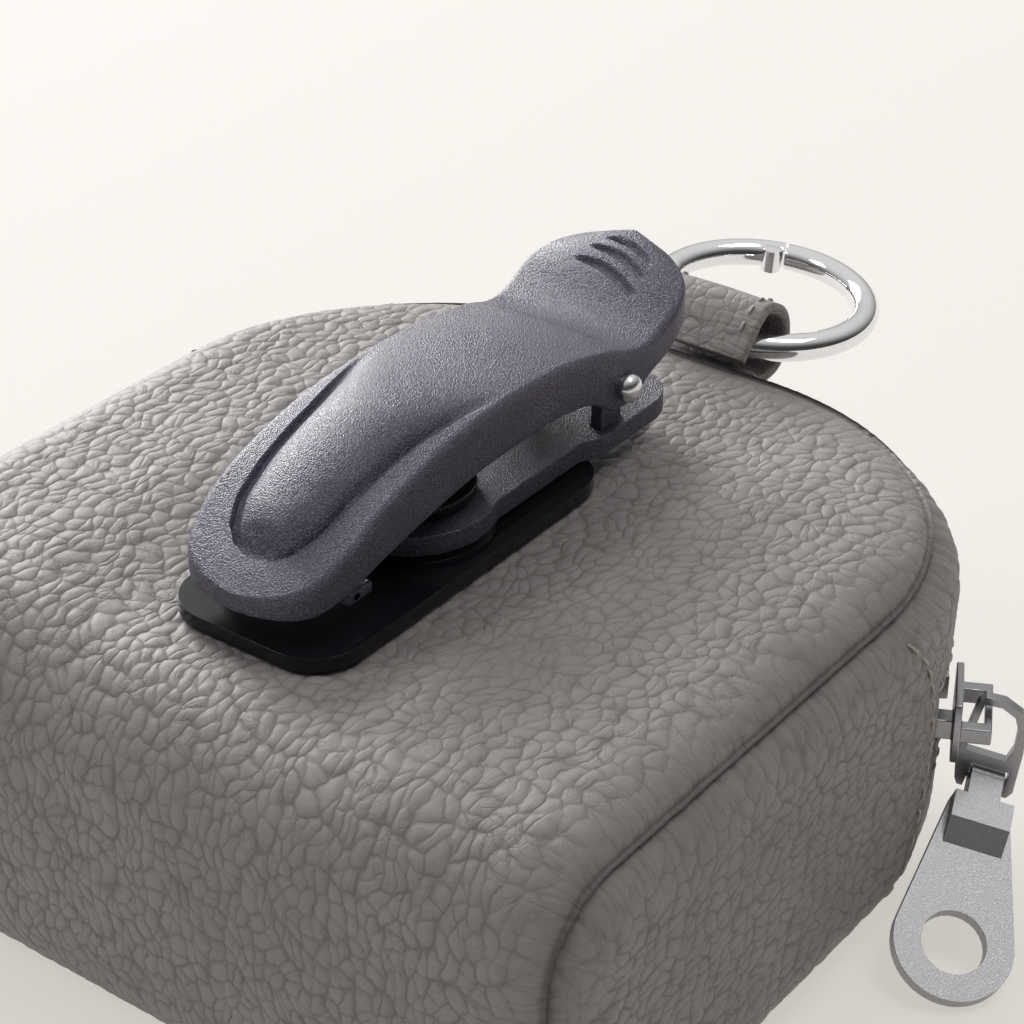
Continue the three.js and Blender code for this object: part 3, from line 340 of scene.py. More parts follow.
# %% Sizes of the pouch
BACK_SEAM = {"z": 45.0, "side": 49.5, "top": 46.0, "corner": 37.0}
FRONT_SEAM = {"z": 3.0, "side": 48.0, "top": 45.5, "corner": 36.0}
NEAR_END = -52.0
WRAP_RADIUS = 10.0
PANEL_ROLL = 7.0
END_RISE = 2.2
BACK_RISE = 3.9
RELIEF_ALONG = (0.0, 0.071, 0.133, 0.40, 0.673, 0.816, 1.0)
RELIEF_MIDDLE = (0.70, 0.60, 0.41, 0.36, 0.39, 0.36, 0.14)
RELIEF_RIDGE = (0.80, 0.87, 1.0, 0.98, 0.88, 0.56, 0.16)
VALLEY_HALF = 11.0
RIDGE_AT = 31.0
BULGE = {"side": 3.6, "corner": 5.1, "end": 4.5}
WALL_ROLL = 6.5
SEAM_GAP = 0.4
ZIP_Z = 23.4
ZIP_OPENING = 10.0
STRIP_DROP = 0.5
GUSSET_REACH = 70.9
OVERLAP_UP = (0, 0.19, 0.357, 0.5, 0.619, 0.762, 0.905, 1)
OVERLAP_REACH = (0.903, 0.979, 0.999, 1, 0.997, 0.968, 0.92, 0.867)
TURN_Y = NEAR_END + WRAP_RADIUS
MIDDLE_Z = (BACK_SEAM["z"] + FRONT_SEAM["z"]) / 2
HIGH_TURN_Z, LOW_TURN_Z = BACK_SEAM["z"] - WRAP_RADIUS, FRONT_SEAM["z"] + WRAP_RADIUS


def lerp(a, b, t):
    return a + (b - a) * t


def smooth(t):
    k = np.clip(t, 0, 1)
    return k * k * (3 - 2 * k)


def up_wall(z):
    """Share of the way up from the front seam to the back seam."""
    return (z - FRONT_SEAM["z"]) / (BACK_SEAM["z"] - FRONT_SEAM["z"])


def rounded(distance, radius):
    k = 1 - np.clip(distance, 0, radius) / radius
    return np.sqrt(1 - k * k)


def run_of(line):
    """The length of a line of points up to each of its points."""
    return np.concatenate([[0], np.cumsum(np.linalg.norm(np.diff(line, axis=0), axis=1))])


def unit(vectors):
    return vectors / np.maximum(np.linalg.norm(vectors, axis=-1, keepdims=True), 1e-9)


def soft_table(shares, values, at):
    """Reads a table between its rows, with the corners of the line rounded off."""
    total = 0
    for step in np.linspace(-0.05, 0.05, 9):
        total = total + np.interp(at + step, shares, values)
    return total / 9


def in_from(seam, x, y, grown=0.0):
    """Distance in from a seam's outline grown by a margin, and the direction outwards."""
    centre_x = seam["side"] - seam["corner"]
    centre_y = seam["top"] - seam["corner"]
    corner = seam["corner"] + grown
    across, along = np.abs(x) - centre_x, y - centre_y
    reach = np.hypot(across, along)
    to_side, to_top = corner - across, corner - along
    in_corner = (across > 0) & (along > 0)
    near_side = to_side < to_top
    distance = np.where(in_corner, corner - reach, np.minimum(to_side, to_top))
    safe = np.maximum(reach, 1e-6)
    out_x = np.where(in_corner, across / safe, np.where(near_side, 1.0, 0.0)) * np.sign(x)
    out_y = np.where(in_corner, along / safe, np.where(near_side, 0.0, 1.0))
    return distance, out_x, out_y


def back_rise(x, y):
    along = (y - NEAR_END) / (BACK_SEAM["top"] - NEAR_END)
    middle = soft_table(RELIEF_ALONG, RELIEF_MIDDLE, along)
    ridge = soft_table(RELIEF_ALONG, RELIEF_RIDGE, along)
    return BACK_RISE * lerp(middle, ridge, smooth((np.abs(x) - VALLEY_HALF) / (RIDGE_AT - VALLEY_HALF)))


print("height of the ridges in mm:", round(float(back_rise(RIDGE_AT, 0.0)), 2))

# %% [markdown]
# ## Turning grids of points into leather
# A leather piece is a grid of quads on its outer face. Round its border the hide curls over and
# tucks into the seam, which makes the tight dark line between two pieces. A flat grid can't end in a
# round outline without crowding its points, so a patch between four curves (a Coons patch) puts the
# grid's corners in the middle of the two round corners.

# %% Grid helpers
GRID_STEP = 0.45
# The pieces are cut from places of the hide that are this far apart.
HIDE_AT = {"gusset": 300, "strips": 600, "strap": 900}
UNDERSIDE_AT = 40
TUCK = 165
RELIEF = 0.28


def patch(left, right, bottom, top, rows, columns):
    """A grid of flat points between four curves: left and right run up, bottom and top run across."""
    s = np.linspace(0, 1, columns)
    t = np.linspace(0, 1, rows)
    low, high, near, far = bottom(s), top(s), left(t), right(t)
    s, t = s[None, :, None], t[:, None, None]
    across = (1 - t) * low[None] + t * high[None]
    along = (1 - s) * near[:, None] + s * far[:, None]
    corners = (1 - s) * (1 - t) * low[0] + s * (1 - t) * low[-1] + (1 - s) * t * high[0] + s * t * high[-1]
    return across + along - corners


def path(points):
    """A curve through points, as a function of the share of its length."""
    points = np.array(points, float)
    length = run_of(points)

    def at(share):
        return np.stack([np.interp(share * length[-1], length, axis) for axis in points.T], axis=-1)

    return at


def arc(x, y, radius, start, end, steps=40):
    turn = np.radians(np.linspace(start, end, steps))
    return np.stack([x + radius * np.cos(turn), y + radius * np.sin(turn)], axis=-1)


def normals_of(grid):
    return unit(np.cross(np.gradient(grid, axis=1), np.gradient(grid, axis=0)))


def border_of(rows, columns):
    """Row and column numbers of a grid's border, and of the nearest points inside it."""
    loop = [(0, j) for j in range(columns)]
    loop += [(i, columns - 1) for i in range(1, rows)]
    loop += [(rows - 1, j) for j in range(columns - 2, -1, -1)]
    loop += [(i, 0) for i in range(rows - 2, 0, -1)]
    i, j = np.array(loop).T
    return (i, j), (np.clip(i, 1, rows - 2), np.clip(j, 1, columns - 2))


def new_piece(name, points, faces, body, material, replaced=()):
    """A mesh object from points in millimetres, riding on its body."""
    mesh = bpy.data.meshes.new(name)
    mesh.from_pydata((np.asarray(points) * MM).tolist(), [], faces)
    mesh.materials.append(material)
    mesh.shade_smooth()
    piece = bpy.data.objects.new(name, mesh)
    bpy.context.scene.collection.objects.link(piece)
    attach(piece, body)
    if replaced:
        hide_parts(*replaced)
    return piece


def leather_piece(name, grid, hide, node, curl=0.6):
    """Leather from a grid of points on its outer face and their places on the flat hide."""
    rows, columns = grid.shape[:2]
    loop, next_in = border_of(rows, columns)
    edge, normal = grid[loop], normals_of(grid)[loop]
    out = unit(np.cross(np.roll(edge, -1, axis=0) - np.roll(edge, 1, axis=0), normal))
    out *= np.sign(np.sum(out * (edge - grid[next_in]), axis=1, keepdims=True))
    flat_edge = hide[loop]
    flat_out = unit(flat_edge - hide[next_in])

    points, flats = [grid.reshape(-1, 3)], [hide.reshape(-1, 3)]
    index = np.arange(rows * columns).reshape(rows, columns)
    faces = np.stack([index[:-1, :-1], index[:-1, 1:], index[1:, 1:], index[1:, :-1]], axis=-1)
    faces = faces.reshape(-1, 4).tolist()
    last = index[loop]
    for k, turn in enumerate(np.radians(np.linspace(0, TUCK, 7)[1:])):
        points.append(edge + curl * (math.sin(turn) * out - (1 - math.cos(turn)) * normal))
        flats.append(flat_edge + flat_out * curl * turn)
        ring = rows * columns + k * len(edge) + np.arange(len(edge))
        faces += np.stack([last, np.roll(last, -1), np.roll(ring, -1), ring], axis=-1).tolist()
        last = ring
    body = frame["nodes"][node]["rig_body"]
    piece = new_piece(name, np.concatenate(points), faces, body, LEATHER, [node])
    lay_out(piece, np.concatenate(flats))
    raise_grain(piece, RELIEF)
    count_triangles(piece)
    return piece


def lay_out(piece, hide):
    """Gives each point of a piece its place on the flat hide, and turns the faces out."""
    places = piece.data.attributes.new(HIDE, "FLOAT_VECTOR", "POINT")
    places.data.foreach_set("vector", hide.astype(np.float32).ravel())
    face_out(piece)


def face_out(piece):
    made = bmesh.new()
    made.from_mesh(piece.data)
    bmesh.ops.recalc_face_normals(made, faces=made.faces)
    made.to_mesh(piece.data)
    made.free()


# %% [markdown]
# ## Main panel
# One long piece of hide runs from the far end of the back, round the near end and along the front.
# The back is padded: it stands above its seam, highest along two ridges beside the clip, and rolls
# over steeply into the seam. To space the points evenly over that roll, the grid is laid out on the
# flat hide first, whose outline is a little larger, and is then folded down to the seam.

# %% Main panel
def roll_lengths(rise, radius):
    """Distances over a rolled edge from the seam, and the distances in from the seam to match."""
    turn = np.linspace(0, math.pi / 2, 60)
    inwards = radius * (1 - np.cos(turn))
    return run_of(np.stack([inwards, rise * np.sin(turn)], axis=-1)), inwards


ROLL_OVER, ROLL_IN = roll_lengths(3.0, PANEL_ROLL)
SPARE = ROLL_OVER[-1] - PANEL_ROLL
PULLED_BAND = 9.0


def folded(over):
    """Distance in from the seam, for a distance over the roll."""
    return np.where(over < ROLL_OVER[-1], np.interp(over, ROLL_OVER, ROLL_IN), over - SPARE)


def pulled(over):
    """How far the grain shifts towards the middle near a seam, where the hide is stretched."""
    return 0.55 * np.clip(PULLED_BAND - over, 0, None) ** 2 / (2 * PULLED_BAND)


def panel_face(seam, flat, height):
    """Folds a flat grid on one face of the panel down to its seam."""
    x, y = flat[..., 0], flat[..., 1]
    over, out_x, out_y = in_from(seam, x, y, SPARE)
    shift = over - SPARE - folded(over)
    px, py = x + out_x * shift, y + out_y * shift
    grid = np.stack([px, py, height(px, py)], axis=-1)
    pull = pulled(over)
    return grid, np.stack([x - out_x * pull, y - out_y * pull, over], axis=-1)


def face_patch(seam, rows, columns, from_y):
    """The flat grid of a face's far end, between its two straight sides and round its far corners."""
    centre_x, centre_y = seam["side"] - seam["corner"], seam["top"] - seam["corner"]
    radius = seam["corner"] + SPARE
    side = centre_x + radius
    right = path(np.concatenate([[[side, from_y]], arc(centre_x, centre_y, radius, 0, 45)]))
    left = path(right(np.linspace(0, 1, 80)) * (-1, 1))
    half_top = np.concatenate([arc(centre_x, centre_y, radius, 45, 90), [[0, centre_y + radius]]])
    top = path(np.concatenate([half_top * (-1, 1), half_top[::-1][1:]]))
    bottom = path([[-side, from_y], [side, from_y]])
    return patch(left, right, bottom, top, rows, columns)


def back_height(x, y):
    return BACK_SEAM["z"] + back_rise(x, y) * rounded(in_from(BACK_SEAM, x, y)[0], PANEL_ROLL)


def front_height(x, y):
    return FRONT_SEAM["z"] * (1 - rounded(in_from(FRONT_SEAM, x, y)[0], PANEL_ROLL))


def near_end_row(y, z, out_y, out_z, share, columns):
    """A row of the panel round the near end, at a point of the line between the two seams."""
    half = lerp(FRONT_SEAM["side"], BACK_SEAM["side"], up_wall(z))
    x = np.linspace(-1, 1, columns) * (half + SPARE)
    over = half + SPARE - np.abs(x)
    inside = folded(over)
    px = np.sign(x) * (half - inside)
    flat_rise = back_rise(px, TURN_Y) if z > MIDDLE_Z else FRONT_SEAM["z"]
    full = 0.9 * math.sin(math.pi * min(max((z - 8) / 32, 0), 1))
    rise = (lerp(flat_rise, END_RISE, smooth(share)) + full) * rounded(inside, PANEL_ROLL)
    row = np.stack([px, y + out_y * rise, z + out_z * rise], axis=-1)
    return row, x - np.sign(x) * pulled(over), over


def main_panel():
    columns = int(round(2 * (BACK_SEAM["side"] + SPARE) / GRID_STEP))
    far_start = 4.0
    rows = int(round((BACK_SEAM["top"] + SPARE - far_start) / GRID_STEP))
    far = face_patch(BACK_SEAM, rows, columns, far_start)
    straight = int(round((far_start - TURN_Y) / GRID_STEP))
    side = BACK_SEAM["side"] + SPARE
    y = np.linspace(TURN_Y, far_start, straight + 1)[:-1]
    x = np.linspace(-side, side, columns)
    body = np.stack(np.broadcast_arrays(x[None, :], y[:, None]), axis=-1)
    grid, hide = panel_face(BACK_SEAM, np.concatenate([body, far]), back_height)
    grid, hide = [grid[::-1]], [hide[::-1]]

    line = []
    for angle in np.linspace(90, 0, int(21 / GRID_STEP)):
        turn = math.radians(angle)
        line.append((math.cos(turn), math.sin(turn), HIGH_TURN_Z, 1 - angle / 90))
    for z in np.linspace(HIGH_TURN_Z, LOW_TURN_Z, int(22 / GRID_STEP))[1:-1]:
        line.append((1.0, 0.0, z, 1.0))
    for angle in np.linspace(0, 90, int(19 / GRID_STEP)):
        turn = math.radians(angle)
        line.append((math.cos(turn), -math.sin(turn), LOW_TURN_Z, 1 - angle / 90))
    along, before = TURN_Y, None
    for out_y, out_z, z, share in line[1:]:
        y_at, z_at = TURN_Y - WRAP_RADIUS * out_y, z + WRAP_RADIUS * out_z
        row, flat_x, over = near_end_row(y_at, z_at, -out_y, out_z, share, columns)
        middle = row[columns // 2]
        along -= 0 if before is None else np.linalg.norm(middle - before)
        before = middle
        grid.append(row[None])
        hide.append(np.stack([flat_x, np.full(columns, along), over], axis=-1)[None])

    under_rows = 16
    far = face_patch(FRONT_SEAM, under_rows, columns, far_start)
    side = FRONT_SEAM["side"] + SPARE
    y = np.linspace(TURN_Y, far_start, under_rows + 1)[1:-1]
    x = np.linspace(-side, side, columns)
    body = np.stack(np.broadcast_arrays(x[None, :], y[:, None]), axis=-1)
    face, flat = panel_face(FRONT_SEAM, np.concatenate([body, far]), front_height)
    flat[..., 1] = along + TURN_Y - flat[..., 1]
    grid.append(face)
    hide.append(flat)
    return np.concatenate(grid), np.concatenate(hide)


panel_grid, panel_hide = main_panel()
leather_piece("leather_main_panel", panel_grid, panel_hide, "main_panel", curl=0.4)

# %% [markdown]
# ## Side gussets
# A gusset fills each side from the near end to the zip. It bulges out, is gathered into both seams,
# and its far edge is turned under and stitched down over the zip strips.

# %% Wall of the pouch
def outline_at(z):
    return [lerp(FRONT_SEAM[name], BACK_SEAM[name], up_wall(z)) for name in ("side", "top", "corner")]


def bulge_at(station):
    start = lerp(BULGE["side"], BULGE["corner"], 0.25)
    side = lerp(BULGE["side"], BULGE["corner"], 0.25 * smooth(station * 2 - 1))
    corner = lerp(start, BULGE["corner"], smooth((station - 1) / 0.45))
    end = lerp(BULGE["corner"], BULGE["end"], smooth((station - 1.45) / 1.1))
    return np.where(station < 1, side, np.where(station < 1.45, corner, end))


def in_from_side(y, z):
    past = np.where(z > HIGH_TURN_Z, z - HIGH_TURN_Z, np.maximum(LOW_TURN_Z - z, 0))
    straight = np.minimum(np.minimum(z - FRONT_SEAM["z"], BACK_SEAM["z"] - z), y - NEAR_END)
    return np.where((y < TURN_Y) & (past > 0), WRAP_RADIUS - np.hypot(TURN_Y - y, past), straight)


def wall_point(station, z, offset):
    """Points of the wall: station 0 is the near end, 1 to 2 the far corner, 3 the middle of the far end."""
    station, z = np.broadcast_arrays(np.asarray(station, float), np.asarray(z, float))
    side, top, corner = outline_at(z)
    centre_x, centre_y = side - corner, top - corner
    turn = np.clip(station - 1, 0, 1) * math.pi / 2
    out_x, out_y = np.cos(turn), np.sin(turn)
    x = np.where(station > 2, centre_x * (3 - station), centre_x + corner * out_x)
    y = np.where(station <= 1, lerp(NEAR_END, centre_y, station), centre_y + corner * out_y)
    inside = in_from_side(np.maximum(y, NEAR_END), z) - SEAM_GAP * 2
    out = bulge_at(station) * rounded(inside, WALL_ROLL) + offset
    return np.stack([x + out_x * out, y + out_y * out, z], axis=-1)


def station_at(y, z):
    _, top, corner = outline_at(z)
    centre_y = top - corner
    along = (y - NEAR_END) / (centre_y - NEAR_END)
    turn = np.arcsin(np.clip((y - centre_y) / corner, 0, 1))
    return np.where(y <= centre_y, along, 1 + turn / (math.pi / 2))


def overlap_at(z):
    total = 0
    for step in np.linspace(-0.08, 0.08, 7):
        total = total + np.interp(up_wall(z) + step, OVERLAP_UP, OVERLAP_REACH)
    return NEAR_END + GUSSET_REACH * total / 7


def puckers(run, in_from_edge, reach, seed):
    """Gathers along a seam: short waves across it that fade away from it."""
    draw = np.random.default_rng(seed)
    wave = 0
    for length in (3.1, 4.3, 6.1):
        start = draw.uniform(0, 7) + 0.8 * np.sin(run / 7.3 + length)
        wave = wave + np.sin(run * 2 * math.pi / length + start)
    return wave / 3 * np.exp(-np.clip(in_from_edge, 0, None) / reach)


# %% Gussets
EDGE_INSET = 0.6


def side_gusset(side, seed):
    low, high = FRONT_SEAM["z"] + EDGE_INSET, BACK_SEAM["z"] - EDGE_INSET
    near, turn = NEAR_END + EDGE_INSET, WRAP_RADIUS - EDGE_INSET
    z = np.linspace(low, high, 60)
    right = path(np.stack([overlap_at(z), z], axis=-1))
    low_arc = arc(near + turn, low + turn, turn, 225, 270)
    high_arc = arc(near + turn, high - turn, turn, 90, 135)
    left = path(np.concatenate([
        arc(near + turn, low + turn, turn, 225, 180),
        arc(near + turn, high - turn, turn, 180, 135),
    ]))
    bottom = path(np.concatenate([low_arc, [[float(overlap_at(low)), low]]]))
    top = path(np.concatenate([high_arc[::-1], [[float(overlap_at(high)), high]]]))
    rows = int((high - low) * 1.12 / GRID_STEP)
    columns = int(72 / GRID_STEP)
    flat = patch(left, right, bottom, top, rows, columns)
    y, z = flat[..., 0], flat[..., 1]
    inside = in_from_side(y, z)
    gather = 0.22 * puckers(y, np.minimum(BACK_SEAM["z"] - z, z - FRONT_SEAM["z"]), 4.5, seed)
    grid = wall_point(station_at(y, z), z, gather)
    pull = pulled(inside)
    squeeze = np.where(z > MIDDLE_Z, -pull, pull) * (np.minimum(z - low, high - z) < 9)
    hide = np.stack([z + squeeze + HIDE_AT["gusset"] * side, y, inside], axis=-1)
    grid[..., 0] *= side
    return grid, hide


for side, name in ((1, "right"), (-1, "left")):
    gusset_grid, gusset_hide = side_gusset(side, 5 + side)
    leather_piece("leather_gusset_" + name, gusset_grid, gusset_hide, "side_gusset_" + name)

# %% [markdown]
# ## Zip strips
# Beside the zip, two narrow strips of the same hide run round the far end, from one gusset to the
# other. Each is turned under along the zip and stitched. They lie half a millimetre lower than the
# gussets, whose edges cover their ends.

# %% Strips
def strip_point(share, z, offset):
    start = station_at(overlap_at(z) - 2.0, z)
    station = lerp(start, 6 - start, share)
    right = station <= 3
    point = wall_point(np.where(right, station, 6 - station), z, offset)
    point[..., 0] *= np.where(right, 1, -1)
    return point


WALL_LINE = strip_point(np.linspace(0, 1, 400), np.full(400, ZIP_Z), -STRIP_DROP)
WALL_RUN = run_of(WALL_LINE)
WALL_LENGTH = float(WALL_RUN[-1])
print("wall from gusset to gusset in mm:", round(WALL_LENGTH, 1))


def share_at(run):
    """Share of the strip at a distance along it."""
    return np.interp(run, WALL_RUN, np.linspace(0, 1, 400))


def zip_strip(low, high, seam_at_top, seed):
    columns = int(WALL_LENGTH / GRID_STEP)
    rows = int((high - low) * 1.1 / GRID_STEP)
    run = np.linspace(0, WALL_LENGTH, columns)[None, :]
    z = np.linspace(low, high, rows)[:, None]
    from_seam = (high - z if seam_at_top else z - low) + EDGE_INSET
    gather = 0.3 * puckers(run, from_seam, 4.0, seed)
    share = np.broadcast_to(share_at(run), (rows, columns))
    grid = strip_point(share, np.broadcast_to(z, (rows, columns)), gather - STRIP_DROP)
    pull = pulled(from_seam) * (-1 if seam_at_top else 1)
    hide = np.broadcast_arrays(z + pull + HIDE_AT["strips"], run, np.minimum(from_seam, 30.0))
    hide = np.stack(hide, axis=-1)
    return grid, hide


ZIP_BACK_EDGE, ZIP_FRONT_EDGE = ZIP_Z + ZIP_OPENING / 2, ZIP_Z - ZIP_OPENING / 2
back_grid, back_hide = zip_strip(ZIP_BACK_EDGE, BACK_SEAM["z"] - EDGE_INSET, True, 11)
leather_piece("leather_strip_back", back_grid, back_hide, "zip_strip_back")
front_grid, front_hide = zip_strip(FRONT_SEAM["z"] + EDGE_INSET, ZIP_FRONT_EDGE, False, 12)
leather_piece("leather_strip_front", front_grid, front_hide, "zip_strip_front")

# %% [markdown]
# ## Hard finishes
# The clip is moulded in charcoal plastic with a fine spark-eroded texture, so it glitters where a light
# grazes it. Here that glitter is partly the texture's bump and partly painted glints, pale specks in its
# colour.
# The ring is bright chrome, and the zip pull is satin nickel, whose grain is so fine that it only softens
# the reflections. All of them read the object's own coordinates, so the texture stays on the piece when it
# moves.

# %% Plastic and metal
def hard_finish(name, colour, rough, metallic, speck, depth, vary=1.0, shine=0.5,
                tint=(1, 1, 1, 1), painted_glint=None):
    """A finish with specks of one size and depth, in millimetres, and a share of mottling."""
    start, surface, material = finish_of(name)
    place = start.node("ShaderNodeTexCoord", None, None, "Object")
    sharp = place.noise(1 / (speck * MM), 1.5, flat=False).ramp(0.35, 0.65)
    clouds = place.noise(0.09 / MM, 3.0, flat=False)
    deep = [channel * (1 - 0.20 * vary) for channel in colour[:3]] + [1.0]
    pale = [min(1.0, channel * (1 + 0.22 * vary)) for channel in colour[:3]] + [1.0]
    tone = (sharp * 0.6 + clouds * 0.4).mix(deep, pale)
    # Painted glints: pale specks in the colour stand in for light sparkling on the spark-eroded texture.
    if painted_glint:
        fine = place.noise(1.6 / (speck * MM), 0.0, flat=False)
        tone = fine.ramp(0.55, 0.72).mix(tone, painted_glint)
    roughness = rough + (clouds - 0.5) * (0.08 * vary)
    feed(surface, Base_Color=tone, Roughness=roughness, Normal=sharp.bump(1.0, depth))
    feed(surface, Metallic=metallic, Specular_IOR_Level=shine, Specular_Tint=tint)
    return material


PLASTIC, METAL = 0.0, 1.0
# The clip plastic's last colour, a pale violet, is its painted glint.
CLIP_PLASTIC = hard_finish("clip_plastic", srgb(43, 41, 55), 0.40, PLASTIC, 0.20, 0.070, 1.6, 0.85,
                           (0.93, 0.90, 1, 1), srgb(108, 104, 124))
PLATE_PLASTIC = hard_finish("plate_plastic", srgb(18, 17, 22), 0.15, PLASTIC, 0.16, 0.001, 0.6, 0.35)
CHROME = hard_finish("chrome", (0.84, 0.84, 0.85, 1.0), 0.06, METAL, 0.8, 0.0001, 0.06)
SATIN = hard_finish("satin_nickel", (0.36, 0.36, 0.37, 1.0), 0.46, METAL, 0.16, 0.010, 0.9)
DARK_SATIN = hard_finish("dark_nickel", (0.34, 0.34, 0.35, 1.0), 0.30, METAL, 0.14, 0.003, 0.5)

# %% [markdown]
# ## Rounded copies of the hard solids
# The solids of the clip's plate, jaw and rivet and of the zip pull have the right shape, but real
# moulded and cast parts have no sharp edges. A copy of the solid gets its flat faces merged and a
# small bevel along its edges, which then catch the light.

# %% Rounded copies
MERGE_WITHIN = 0.01
FLAT_WITHIN = 1.0
BEVEL_FROM = 35


def rounded_copy(node, name, radius, material, segments=3):
    """A solid's copy with bevelled edges, in the solid's place."""
    made = bmesh.new()
    made.from_mesh(frame["nodes"][node].data)
    bmesh.ops.remove_doubles(made, verts=made.verts, dist=MERGE_WITHIN * MM)
    flat = math.radians(FLAT_WITHIN)
    bmesh.ops.dissolve_limit(made, angle_limit=flat, verts=made.verts, edges=made.edges)
    mesh = bpy.data.meshes.new(name)
    made.to_mesh(mesh)
    made.free()
    mesh.materials.clear()
    mesh.materials.append(material)
    mesh.shade_smooth()
    piece = bpy.data.objects.new(name, mesh)
    bpy.context.scene.collection.objects.link(piece)
    bevel = piece.modifiers.new("edges", "BEVEL")
    bevel.width = radius * MM
    bevel.segments = segments
    bevel.limit_method = "ANGLE"
    bevel.angle_limit = math.radians(BEVEL_FROM)
    bevel.use_clamp_overlap = True
    even = piece.modifiers.new("even_shading", "WEIGHTED_NORMAL")
    even.keep_sharp = True
    apply_all(piece)
    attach(piece, frame["nodes"][node]["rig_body"])
    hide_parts(node)
    count_triangles(piece)


rounded_copy("mounting_plate", "clip_plate", 0.45, PLATE_PLASTIC)
rounded_copy("swivel_rivet", "clip_rivet", 0.3, PLATE_PLASTIC)
rounded_copy("clip_jaw", "clip_jaw_rounded", 0.35, CLIP_PLASTIC)
rounded_copy("zip_slider", "slider_rounded", 0.18, DARK_SATIN, 2)
rounded_copy("pull_link", "link_rounded", 0.3, DARK_SATIN, 2)
rounded_copy("pull_tab", "tab_rounded", 0.35, SATIN)

# %% [markdown]
# ## Clip lever
# The lever is the piece that shows most. It is a moulded shell, open below, with a round tip, a
# raised oval in a groove, and a thumb pad with three grip cuts. It is lofted from cross-sections:
# a table gives their half width, the heights of the upper and lower edge and the crown, and each
# section is one closed line that runs over the top, down the sides and back along the inside. Two
# small hooks under the tip hold on to a belt.

# %% Lever
PIN_Y, PIN_Z = 16.5, 57.5
LEVER_FRONT, LEVER_LENGTH, LEVER_HALF = -55.3, 72.6, 11.0
LEVER_LOW, LEVER_HEIGHT, LEVER_CROWN = -3.7, 14.6, 1.9
LEVER_ROWS = np.array([
    # along, half, edge, skirt, crown, as shares of the sizes above
    (0, 0.82, 0.035, -0.10, 0.053),
    (0.03, 0.83, 0.125, -0.09, 0.158),
    (0.066, 0.845, 0.225, -0.05, 0.211),
    (0.113, 0.909, 0.355, 0.03, 0.263),
    (0.163, 0.918, 0.480, 0.10, 0.263),
    (0.245, 0.918, 0.610, 0.185, 0.368),
    (0.342, 0.909, 0.705, 0.26, 0.474),
    (0.438, 0.9, 0.74, 0.301, 0.579),
    (0.534, 0.9, 0.74, 0.315, 0.632),
    (0.617, 0.909, 0.705, 0.295, 0.632),
    (0.686, 0.936, 0.651, 0.233, 0.526),
    (0.741, 0.964, 0.589, 0.082, 0.421),
    (0.782, 0.982, 0.521, 0.089, 0.263),
    (0.824, 1, 0.5, 0.219, 0.211),
    (0.865, 1, 0.562, 0.288, 0.368),
    (0.906, 1, 0.658, 0.397, 0.684),
    (0.948, 0.985, 0.74, 0.514, 0.947),
    (0.975, 0.97, 0.788, 0.603, 0.895),
    (1, 0.96, 0.842, 0.726, 0.7),
])
TIP_ROUND, TAIL_ROUND = 0.085, 0.11
END_SHARE, PAD_FROM = 0.03, 0.86
HOLLOW_FROM, HOLLOW_TO = 0.066, 0.84
LEVER_WALL, LEVER_SKIN = 1.4, 1.6
OVAL_OUTLINE = np.array([(0.050, 0.0), (0.057, 0.26), (0.08, 0.47), (0.12, 0.58), (0.19, 0.64),
                         (0.30, 0.70), (0.40, 0.82), (0.50, 0.95)])
OVAL_RISE, OVAL_GROOVE, GROOVE_FLOOR = 1.7, 0.8, 0.75
SHARP_FROM = 40
OVAL_START, OVAL_END, OVAL_FADE = 0.060, 0.50, 0.22
# Each row is a grip cut: the place of its middle across and along the clip, and its half width.
GRIP_CUTS = ((0.6, 27.0, 5.2), (1.0, 29.0, 4.6), (1.4, 30.9, 3.8))
GRIP_TILT, GRIP_BOW, GRIP_SIZE = 0.22, 0.65, 0.62


def spline(xs, ys, at):
    """A smooth line through the points of a table."""
    slope = np.gradient(ys, xs)
    i = np.clip(np.searchsorted(xs, at, side="right") - 1, 0, len(xs) - 2)
    step = xs[i + 1] - xs[i]
    t = (at - xs[i]) / step
    return (ys[i] * (1 + 2 * t) * (1 - t) ** 2 + slope[i] * step * t * (1 - t) ** 2
            + ys[i + 1] * t * t * (3 - 2 * t) + slope[i + 1] * step * t * t * (t - 1))


def oval_edge(along, half):
    """Half width of the raised oval. Past its ends the value only spaces the columns of the mesh."""
    return half * max(float(np.interp(along, OVAL_OUTLINE[:, 0], OVAL_OUTLINE[:, 1])), 0.08)


def lever_top(share, along, half):
    """Extra height of the lever's top: the raised oval with its groove."""
    if along < OVAL_OUTLINE[0, 0]:
        return np.zeros_like(share)
    fade = float(smooth((OVAL_END - along) / OVAL_FADE))
    edge = oval_edge(along, half)
    at = np.abs(share) * half
    wall = 1 - smooth((at - edge + 0.1) / 0.55)
    dome = np.sqrt(np.clip(1 - (at / max(edge - GROOVE_FLOOR, 0.05)) ** 2.2, 0, 1))
    risen = float(smooth((along - OVAL_START) / 0.05)) ** 0.5
    dome *= (OVAL_GROOVE + OVAL_RISE * risen) * min(1, risen * 1.4)
    return fade * (dome - OVAL_GROOVE * wall)


def grip_cut(x, y):
    """Three crescent cuts across the thumb pad."""
    depth = np.zeros_like(x)
    for middle_x, middle_y, half_width in GRIP_CUTS:
        across = (x - middle_x) / half_width
        line = middle_y - GRIP_TILT * (x - middle_x) + GRIP_BOW * (0.5 - across ** 2)
        width = GRIP_SIZE * np.sqrt(np.clip(1 - across ** 2, 0, 1)) + 1e-6
        off = np.clip(np.abs(y - line) / width, 0, 1)
        cut = GRIP_SIZE * smooth((1 - off) / 0.6) * smooth((1 - across ** 2) / 0.5)
        depth = np.maximum(depth, np.where(np.abs(across) < 1, cut, 0))
    return depth


